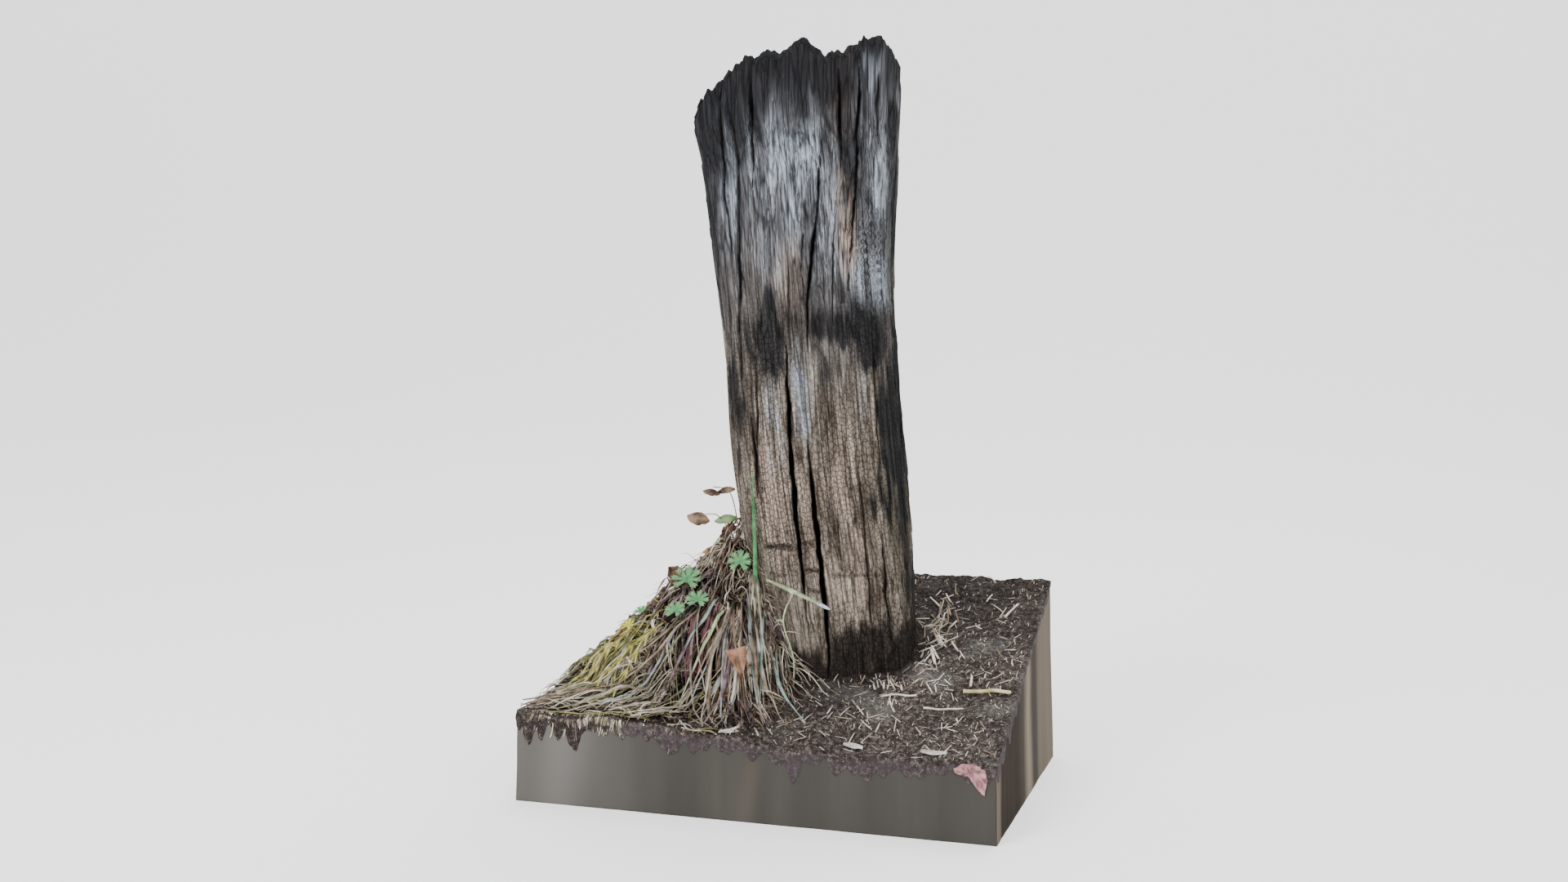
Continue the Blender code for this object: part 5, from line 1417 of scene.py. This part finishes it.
def make_hanging_blades():
    rng = random.Random(33)
    bundle = Bundle()
    placed = 0
    while placed < THATCH_BLADES:
        front = rng.random() < 0.70
        bearing = math.radians(rng.uniform(168, 352) if front else rng.uniform(20, 168))
        share = 0.98 * rng.random() ** 0.6
        x, y = thatch_place(bearing, share)
        # Dark gaps stay open between the clumps.
        if (rough(x * 26, y * 26, 14.0) < -0.05 or rough(x * 62, y * 62, 8.0) < -0.16) and rng.random() < 0.88:
            continue
        # So does the place where the red stems show.
        if -0.130 < x < -0.076 and -0.168 < y < -0.090 and rng.random() < 0.85:
            continue
        # The side towards the stump is a dark hollow.
        if x > -0.022 and y > -0.125 and rng.random() < 0.85:
            continue
        placed += 1
        clump = max(0.3 + rough(x * 26, y * 26, 14.0), 0)
        wide = rng.uniform(0.0020, 0.0040) if rng.random() < 0.6 else rng.uniform(0.0040, 0.0068)
        stray(bundle, rng, x, y, rng.uniform(0.024, 0.080), wide, tone_at(rng, x, y),
              0.011 * clump + rng.uniform(0.0, 0.005), rng.uniform(0.0, 0.014) * smooth(share * 2.5))
    for lock in LOCKS:
        make_lock(bundle, rng, *lock)
    # Long broad blades pour over the front, down to the soil.
    for _ in range(FRONT_BLADES):
        bearing = math.radians(rng.uniform(240, 318))
        start, end = rng.uniform(0.20, 0.60), rng.uniform(0.95, 1.42)
        hang(bundle, rng, bearing, start, end, rng.gauss(0, 0.42), rng.uniform(0.008, 0.026),
             rng.uniform(0.010, 0.020), rng.uniform(0.0030, 0.0064), rng.choice(COOL_MIX + (MAUVE, TAN, TAN, GREY, BROWN)))
    bundle.piece("hanging_grass", list(GRASS), ["tussock"], "dry_grass")


def hang_strand(bundle, rng, x, drop, width, tone, out):
    """One strand that comes over the block's front edge and hangs this far down its face."""
    top = ground(x, -0.224)
    sway = rng.uniform(-0.006, 0.004)
    path = [Vector((x + 0.004, -0.214, top + 0.002)), Vector((x + 0.001, -0.221, top + 0.003))]
    for m in range(1, 6):
        path.append(Vector((x + sway * (m / 5) ** 2 + 0.001 * rough(m * 0.7, x * 900), -out, top - drop * m / 5)))
    bundle.blade(path, width, 0.0004, (0, -1, 0.1), tone, tip=rng.uniform(0.2, 0.9), dark=0.5 * rng.random() ** 2)


def make_edge_strands(bundle, rng):
    """A thick pale lock hangs over the block's front edge, and torn roots and straws stick out of the soil's left end."""
    for _ in range(EDGE_STRANDS):
        hang_strand(bundle, rng, rng.gauss(-0.208, 0.011), rng.uniform(0.010, 0.030), rng.uniform(0.0014, 0.0034),
                    rng.choice((PALE, PALE, TAN, FADED)), 0.2263)
    for _ in range(TORN_STRANDS):
        x = rng.uniform(-0.338, -0.225) if rng.random() < 0.75 else rng.uniform(-0.225, -0.05)
        hang_strand(bundle, rng, x, rng.uniform(0.4, 1.05) * fringe_depth(x, -BLOCK_Y / 2), rng.uniform(0.0012, 0.0036),
                    rng.choice((BROWN, BROWN, GREY, TAN, TAN, PALE, MAUVE)), 0.2261)


def make_side_straws():
    """Long straws that flow to the left along the bank, and lie over the block's edge."""
    rng = random.Random(41)
    bundle = Bundle()
    for _ in range(SIDE_STRAWS):
        x = rng.uniform(-0.330, -0.06)
        y = rng.uniform(-0.222, 0.10) if rng.random() < 0.75 else rng.uniform(0.0, 0.21)
        if thatch_distance(x, y) < 0.45:
            continue
        length = rng.uniform(0.03, 0.11)
        heading = math.pi + rng.gauss(0.15, 0.42) + 0.9 * rough(x * 22, y * 22, 17.0)
        root = (x + length * 0.4, y + 0.2 * length * rng.uniform(-1, 1))
        tip = (x + length * math.cos(heading) * 0.6, y + length * math.sin(heading) * 0.6)
        bend = (x, y + rng.uniform(-0.02, 0.02))
        path = well_spaced(drape(root, bend, tip, rng.uniform(-0.001, 0.006), 7, rng.uniform(0.0005, 0.008)))
        if len(path) < 4:
            continue
        tone = rng.choice((PALE, PALE, PALE, FADED, FADED, TAN, GREY, YELLOW, MAUVE))
        bundle.blade(path, rng.uniform(0.0018, 0.0044), 0.0005, (0, -0.3, 1), tone,
                     tip=rng.uniform(0.3, 0.8), twist=rng.uniform(-0.9, 0.9), dark=0.5 * rng.random() ** 2.5, root_shade=0.3)
    make_edge_strands(bundle, rng)
    bundle.piece("side_straws", list(GRASS), ["tussock"], "dry_grass")


def make_wisps():
    """Loose ends that stand off the tussock, mostly over its crest and its foot."""
    rng = random.Random(52)
    bundle = Bundle()
    for _ in range(WISPS):
        bearing = math.radians(rng.uniform(150, 350))
        start = rng.uniform(0.05, 0.95)
        length = rng.uniform(0.018, 0.055)
        x, y = thatch_place(bearing, start)
        base = Vector((x, y, covered(x, y) - 0.002))
        out = Vector((math.cos(bearing) + rng.uniform(-0.5, 0.5), math.sin(bearing) + rng.uniform(-0.5, 0.5),
                      rng.uniform(0.1, 0.9))).normalized()
        path = []
        for k in range(6):
            t = k / 5
            p = base + out * length * t - Vector((0, 0, 0.55 * length * t * t))
            p.z = max(p.z, covered(p.x, p.y) + 0.001 * t)
            path.append(clear_of_stump(within_block(p, 0.004), 1.04))
        path = well_spaced(path)
        if len(path) > 3:
            bundle.blade(path, rng.uniform(0.0009, 0.0020), 0.0004, out.orthogonal(),
                         rng.choice((PALE, TAN, TAN, GREY, FADED)), tip=0.2, twist=rng.uniform(-1, 1))
    bundle.piece("loose_wisps", list(GRASS), ["tussock"], "dry_grass")


make_core()
make_hanging_blades()
make_side_straws()
make_wisps()


# Living and withered plants, each over its own solid

LEAF_TURNS = 168
LEAF_RINGS = 9


def lobed_reach(turn):
    """How far a cranesbill leaf reaches this way from its middle: seven lobes, each cut into three teeth."""
    gap = math.radians(40)
    lobes = 7
    width = (2 * math.pi - gap) / lobes
    from_stalk = (turn + math.pi / 2) % (2 * math.pi)
    along = (from_stalk - gap / 2) / width
    if not 0 <= along <= lobes:
        return 0.24, 0.0
    place = along - math.floor(along) - 0.5
    side = abs(place) * 2
    body = 1 - 0.12 * side**2 - 0.58 * smooth((side - 0.62) / 0.38)
    teeth = 0.15 * abs(math.sin(place * math.pi * 3.4)) ** 0.8
    return body - teeth * (1 - smooth((side - 0.75) / 0.25)), math.exp(-((place / 0.05) ** 2))


def cranesbill_leaf(bundle, middle, radius, face, slot, seed):
    """A round leaf with palmate veins pressed into it, its lobes lifting and drooping in turn."""
    face = Vector(face).normalized()
    across = Vector((0, 0.3, 1)).cross(face).normalized()
    along = face.cross(across)
    grid, tones = [], []
    for r in range(LEAF_RINGS):
        out = 0.04 + 0.96 * r / (LEAF_RINGS - 1)
        row = []
        for k in range(LEAF_TURNS + 1):
            turn = -math.pi / 2 + 2 * math.pi * k / LEAF_TURNS
            reach, vein = lobed_reach(turn)
            size = radius * out * reach
            wave = 0.07 * radius * out**2 * math.sin(7 * turn + seed) + 0.05 * radius * rough(turn * 2, out * 2, seed)
            cup = 0.16 * radius * (out * reach) ** 2
            groove = -0.022 * radius * vein * smooth(out * 5)
            row.append(Vector(middle) + (across * math.cos(turn) + along * math.sin(turn)) * size
                       + face * (cup + wave * 0.8 + groove))
            tones.append((0.75 * vein * (1 - 0.5 * out), 0.8 * smooth((out - 0.86) / 0.14), 0.0, 1.0))
        grid.append(row)
    bundle.sheet(grid, 0.0006, slot, tones)


def curve(points, steps=10):
    """A smooth path through a few points."""
    points = [Vector(p) for p in points]
    path = []
    for a in range(len(points) - 1):
        before, start = points[max(a - 1, 0)], points[a]
        end, after = points[a + 1], points[min(a + 2, len(points) - 1)]
        for k in range(steps):
            t = k / steps
            path.append(0.5 * ((2 * start) + (end - before) * t + (2 * before - 5 * start + 4 * end - after) * t**2
                               + (3 * start - before - 3 * end + after) * t**3))
    path.append(points[-1])
    return path


def rooted(x, y, depth=0.010):
    return Vector((x, y, thatch_top(x, y) - depth))


def make_cranesbills():
    leaves = (
        ("cranesbill_1", (-0.060, -0.076, 0.336), 0.0185, (0.15, -0.85, 0.50), (-0.048, -0.056)),
        ("cranesbill_2", (-0.140, -0.078, 0.306), 0.0245, (0.10, -0.60, 0.80), (-0.128, -0.050)),
        ("cranesbill_3", (-0.112, -0.112, 0.284), 0.0185, (0.05, -0.55, 0.83), (-0.104, -0.088)),
        ("cranesbill_4", (-0.144, -0.118, 0.268), 0.0170, (-0.10, -0.60, 0.80), (-0.139, -0.102)),
        ("cranesbill_5", (-0.221, -0.060, 0.250), 0.0120, (-0.30, -0.40, 0.86), (-0.200, -0.045)),
        ("yellow_cranesbill_1", (-0.226, -0.096, 0.236), 0.0125, (-0.20, -0.60, 0.77), (-0.205, -0.080)),
    )
    for number, (node, middle, radius, face, root) in enumerate(leaves, 1):
        yellow = node.startswith("yellow")
        bundle = Bundle()
        cranesbill_leaf(bundle, middle, radius, face, 0, number * 1.7)
        start = rooted(*root)
        back = Vector(middle) - Vector(face).normalized() * 0.0015
        bundle.stalk(curve((start, (start + back) / 2 + Vector((0, 0.003, 0.005)), back), 7), 0.0011, 1, 0.7)
        finishes = [YELLOW_LEAF, YELLOW_STEM] if yellow else [GREEN_LEAF, GREEN_STEM]
        bundle.piece(f"leaf_{node}", finishes, [node], "yellow_leaf" if yellow else "green_leaf")


def make_blades():
    """Living blades and coloured stems that hang from the tussock."""
    rng = random.Random(61)
    shapes = (
        ("green_blade_1", ((-0.024, -0.080), (-0.010, -0.135), (0.002, -0.176)), 0.022, 0.0064, BLUE_GREEN),
        ("green_blade_2", ((-0.004, -0.085), (0.012, -0.150), (0.072, -0.186)), 0.016, 0.0056, BLUE_GREEN),
        ("green_blade_3", ((-0.066, -0.095), (-0.084, -0.150), (-0.122, -0.200)), 0.016, 0.0056, PALE_STALK),
        ("green_blade_4", ((-0.084, -0.090), (-0.100, -0.135), (-0.136, -0.168)), 0.018, 0.0052, BLUE_GREEN),
        ("yellow_stem_1", ((-0.190, -0.070), (-0.225, -0.130), (-0.282, -0.180)), 0.016, 0.0046, YELLOW_STEM),
        ("yellow_stem_2", ((-0.165, -0.085), (-0.195, -0.150), (-0.245, -0.196)), 0.016, 0.0042, YELLOW_STEM),
        ("yellow_stem_3", ((-0.215, -0.050), (-0.262, -0.100), (-0.312, -0.140)), 0.014, 0.0042, YELLOW_STEM),
        ("red_stem_1", ((-0.116, -0.096), (-0.116, -0.130), (-0.106, -0.165)), 0.008, 0.0048, RED_STEM),
        ("red_stem_2", ((-0.092, -0.092), (-0.094, -0.128), (-0.088, -0.166)), 0.006, 0.0044, RED_STEM),
    )
    slot_names = {"green": "blue_green_blade", "yellow": "yellow_stem", "red": "red_stem"}
    for node, (root, bend, tip), bow, width, material in shapes:
        bundle = Bundle()
        path = drape(root, bend, tip, bow, 16, 0.012)
        path[0] = rooted(*root)
        if node.startswith("red"):
            # A sheaf of thin stems, tied by nothing but growing from one root.
            for k in range(9):
                spread = Vector((rng.uniform(-0.017, 0.017), rng.uniform(-0.004, 0.004), rng.uniform(-0.004, 0.004)))
                pinch = rng.uniform(0.5, 1.0)
                one = [p + spread * (0.35 + 0.9 * abs(i / 16 - 0.45)) * pinch for i, p in enumerate(path)]
                bundle.stalk(one, rng.uniform(0.0009, 0.0018), 0, 0.6)
        elif node.startswith("yellow"):
            bundle.stalk(path, width * 0.30, 0, 0.55)
            # Side shoots, in pairs.
            for k in (3, 5, 7, 9, 11):
                for side in (-1, 1):
                    ahead = (path[k + 1] - path[k]).normalized()
                    out = (ahead + side * ahead.cross(Vector((0, 0, 1))) * 0.9 + Vector((0, 0, 0.2))).normalized()
                    shoot = [path[k] + out * 0.006 * m - Vector((0, 0, 0.0006 * m * m)) for m in range(4)]
                    bundle.blade([within_block(p, 0.004) for p in shoot], 0.0046, 0.0004, (0, -0.4, 1), 0, 0.3)
        else:
            bundle.blade(path, width, 0.0006, TOWARDS_VIEWER, 0, 0.2, 0.5)
        bundle.piece(f"fine_{node}", [material], [node], slot_names[node.split("_")[0]])


def make_tall_blade():
    bundle = Bundle()
    points = [rooted(-0.035, -0.078), (-0.033, -0.088, 0.330), (-0.030, -0.101, 0.400), (-0.028, -0.116, 0.470)]
    path = [clear_of_stump(p, 1.08) if i else p for i, p in enumerate(curve(points, 8))]
    bundle.blade(path, 0.0060, 0.0006, TOWARDS_VIEWER, 0, 0.12, 0.3)
    thin = [clear_of_stump(p + Vector((-0.003, 0.001, 0.0)) * (i / 24), 1.08) for i, p in enumerate(path)]
    bundle.blade(thin[6:], 0.0030, 0.0005, TOWARDS_VIEWER, 0, 0.12, -0.3)
    bundle.piece("tall_green_blade", [VIVID_GREEN], ["tall_blade_1"], "green_leaf")


def make_pale_stalk():
    bundle = Bundle()
    leaf = curve(((-0.004, -0.126, 0.322), (0.033, -0.116, 0.305), (0.058, -0.108, 0.292), (0.082, -0.100, 0.279)), 8)
    bundle.blade(leaf[:20], 0.0062, 0.0010, TOWARDS_VIEWER, 0, 0.75, 0.2, 0.5)
    bundle.blade(leaf[18:], 0.0058, 0.0008, TOWARDS_VIEWER, 1, 0.3, 0.3, 0.8)
    branch = curve(((0.026, -0.098, 0.150), (0.030, -0.106, 0.205), (0.017, -0.114, 0.262), (0.033, -0.116, 0.305)), 8)
    bundle.stalk(branch, 0.0012, 0, 0.9)
    bundle.stalk(curve(((0.029, -0.1165, 0.303), (0.033, -0.117, 0.306), (0.037, -0.1155, 0.304)), 4), 0.0022, 0, 0.9)
    side = curve(((0.018, -0.114, 0.258), (0.012, -0.112, 0.262), (0.004, -0.112, 0.258)), 5)
    bundle.blade(side, 0.0028, 0.0005, TOWARDS_VIEWER, 0, 0.2)
    bundle.piece("leaning_stalk", [PALE_STALK, WHITE_TIP], ["pale_stalk_1"], "pale_stalk")


def withered_leaf(bundle, middle, half_length, half_width, along, face, slot, curl, seed, torn=False):
    """A dead leaf, rolled along its length and crumpled: pointed at both ends, or torn off straight at one."""
    face = Vector(face).normalized()
    across = Vector(along).cross(face).normalized()
    along = face.cross(across)
    grid = []
    for r in range(15):
        t = r / 14 * 2 - 1
        outline = 1.25 * (0.5 - 0.5 * t) ** 0.8 if torn else 1 - abs(t) ** 2.2
        half = half_width * max(outline, 0.03) * (1 + 0.2 * rough(t * 3, seed, 2.0))
        row = []
        for c in range(9):
            s = c / 4 - 1
            bow = curl * half_width * s * s + 0.3 * curl * half_length * t * t
            crumple = 0.28 * half_width * rough(t * 3.2, s * 1.6, seed)
            row.append(Vector(middle) + across * half * s + along * half_length * t + face * (bow + crumple))
        grid.append(row)
    bundle.sheet(grid, 0.0007, slot)


def make_withered():
    sprigs = (
        ("sprig_1", ((-0.078, -0.030), (-0.082, -0.050, 0.372), (-0.100, -0.062, 0.400), (-0.128, -0.070, 0.398)),
         ((-0.088, -0.057, 0.396), (-0.126, -0.070, 0.398)), 0.0165),
        ("sprig_2", ((-0.066, -0.048), (-0.068, -0.062, 0.390), (-0.076, -0.074, 0.436), (-0.098, -0.084, 0.444)),
         ((-0.080, -0.077, 0.441), (-0.100, -0.085, 0.438)), 0.0125),
    )
    for node, points, leaves, size in sprigs:
        bundle = Bundle()
        path = curve([rooted(*points[0]), *points[1:]], 8)
        bundle.stalk(path, 0.0010, 0, 0.6)
        for i, middle in enumerate(leaves):
            along = (-1, -0.2, 0.5 * i - 0.3)
            green = node == "sprig_1" and i == 0
            wide = size * (0.42 if green or node == "sprig_2" else 0.62)
            withered_leaf(bundle, middle, size, wide, along, TOWARDS_VIEWER, 1 if green else 0, -0.8, i + 3.0)
        bundle.piece(f"withered_{node}", [BROWN_LEAF, GREEN_STEM], [node], "dead_leaf")
    leaves = (
        ("dead_leaf_1", (-0.032, -0.160, 0.208), 0.0210, 0.0125, (0.20, 0.25, -0.90), (0.10, -0.95, 0.25),
         (-0.040, -0.112), DEAD_LEAF, 0.5),
        ("dead_leaf_2", (-0.160, -0.062, 0.306), 0.0150, 0.0110, (-0.60, -0.30, 0.70), (-0.20, -0.70, 0.60),
         (-0.148, -0.052), BROWN_LEAF, 0.9),
    )
    for node, middle, half_length, half_width, along, face, root, material, curl in leaves:
        bundle = Bundle()
        torn = node == "dead_leaf_1"
        withered_leaf(bundle, middle, half_length, half_width, along, face, 0, curl, half_length * 300, torn)
        start = rooted(*root)
        bundle.stalk(curve((start, (start + Vector(middle)) / 2, middle), 5), 0.0009, 0, 0.8)
        bundle.piece(f"withered_{node}", [material], [node], "dead_leaf")


def make_dead_flecks():
    """Small curled dead leaves caught in the tussock's left flank."""
    rng = random.Random(77)
    bundle = Bundle()
    for _ in range(DEAD_FLECKS):
        x, y = rng.uniform(-0.290, -0.070), rng.uniform(-0.075, 0.035)
        middle = Vector((x, y, covered(x, y) + rng.uniform(0.006, 0.013)))
        along = (rng.uniform(-1, 1), rng.uniform(-1, 1), rng.uniform(-0.3, 0.8))
        face = (rng.uniform(-0.5, 0.5), rng.uniform(-0.9, -0.2), rng.uniform(0.3, 1.0))
        size = rng.uniform(0.006, 0.012)
        withered_leaf(bundle, middle, size, size * rng.uniform(0.4, 0.75), along, face, rng.choice((0, 0, 1)),
                      rng.uniform(-0.9, 0.9), rng.uniform(0, 40))
    bundle.piece("dead_flecks", [BROWN_LEAF, DEAD_LEAF], ["tussock"], "dead_leaf")


make_cranesbills()
make_blades()
make_tall_blade()
make_pale_stalk()
make_withered()
make_dead_flecks()


# Floor, light and camera

FLOOR_REACH = 9.0
CAMERA_AT = Vector((0.8304, -2.7541, 0.8572))
LOOKS_AT = Vector((-0.0154, -0.0049, 0.504))
LENS = 45.67


def make_floor():
    """A plain pale floor that curves up behind."""
    points, faces = [], []
    profile = [(-FLOOR_REACH, 0.0), (3.0, 0.0)]
    for k in range(1, 17):
        turn = math.pi / 2 * k / 16
        profile.append((3.0 + 2.5 * math.sin(turn), 2.5 * (1 - math.cos(turn))))
    profile.append((5.5, 7.0))
    for y, z in profile:
        points += [(-FLOOR_REACH, y, z), (FLOOR_REACH, y, z)]
    for k in range(len(profile) - 1):
        faces.append((2 * k, 2 * k + 1, 2 * k + 3, 2 * k + 2))
    mesh = bpy.data.meshes.new("studio_floor")
    mesh.from_pydata(points, [], faces)
    mesh.polygons.foreach_set("use_smooth", [True] * len(mesh.polygons))
    # Matt painted board.
    made, _, shader = finish("matt_painted_board", "f4f4f4", 0.9, 0.2)
    shader.inputs["Emission Color"].default_value = linear("ffffff")
    shader.inputs["Emission Strength"].default_value = 0.85
    mesh.materials.append(made)
    floor = bpy.data.objects.new("studio_floor", mesh)
    bpy.context.scene.collection.objects.link(floor)


def make_light(name, place, size, power, aim=(0, 0, 0.5)):
    lamp = bpy.data.lights.new(name, "AREA")
    lamp.shape = "DISK"
    lamp.size = size
    lamp.energy = power
    made = bpy.data.objects.new(name, lamp)
    made.location = place
    made.rotation_euler = (Vector(aim) - Vector(place)).to_track_quat("-Z", "Y").to_euler()
    bpy.context.scene.collection.objects.link(made)


def make_camera():
    lens = bpy.data.cameras.new("front_view")
    lens.sensor_width = 36.0
    lens.lens = LENS
    made = bpy.data.objects.new("front_view", lens)
    made.location = CAMERA_AT
    made.rotation_euler = (LOOKS_AT - CAMERA_AT).to_track_quat("-Z", "Y").to_euler()
    bpy.context.scene.collection.objects.link(made)
    bpy.context.scene.camera = made


make_floor()
make_light("soft_key", (-1.6, -2.8, 3.2), 2.0, 105)
make_light("soft_fill", (2.6, -2.0, 1.8), 2.6, 22)
make_light("soft_top", (0.2, 1.2, 3.6), 2.0, 65)
make_camera()

world = bpy.data.worlds.new("studio_air")
world.use_nodes = True
world.node_tree.nodes["Background"].inputs["Color"].default_value = linear("f2f3f5")
world.node_tree.nodes["Background"].inputs["Strength"].default_value = 0.88
bpy.context.scene.world = world

bpy.context.view_layer.update()
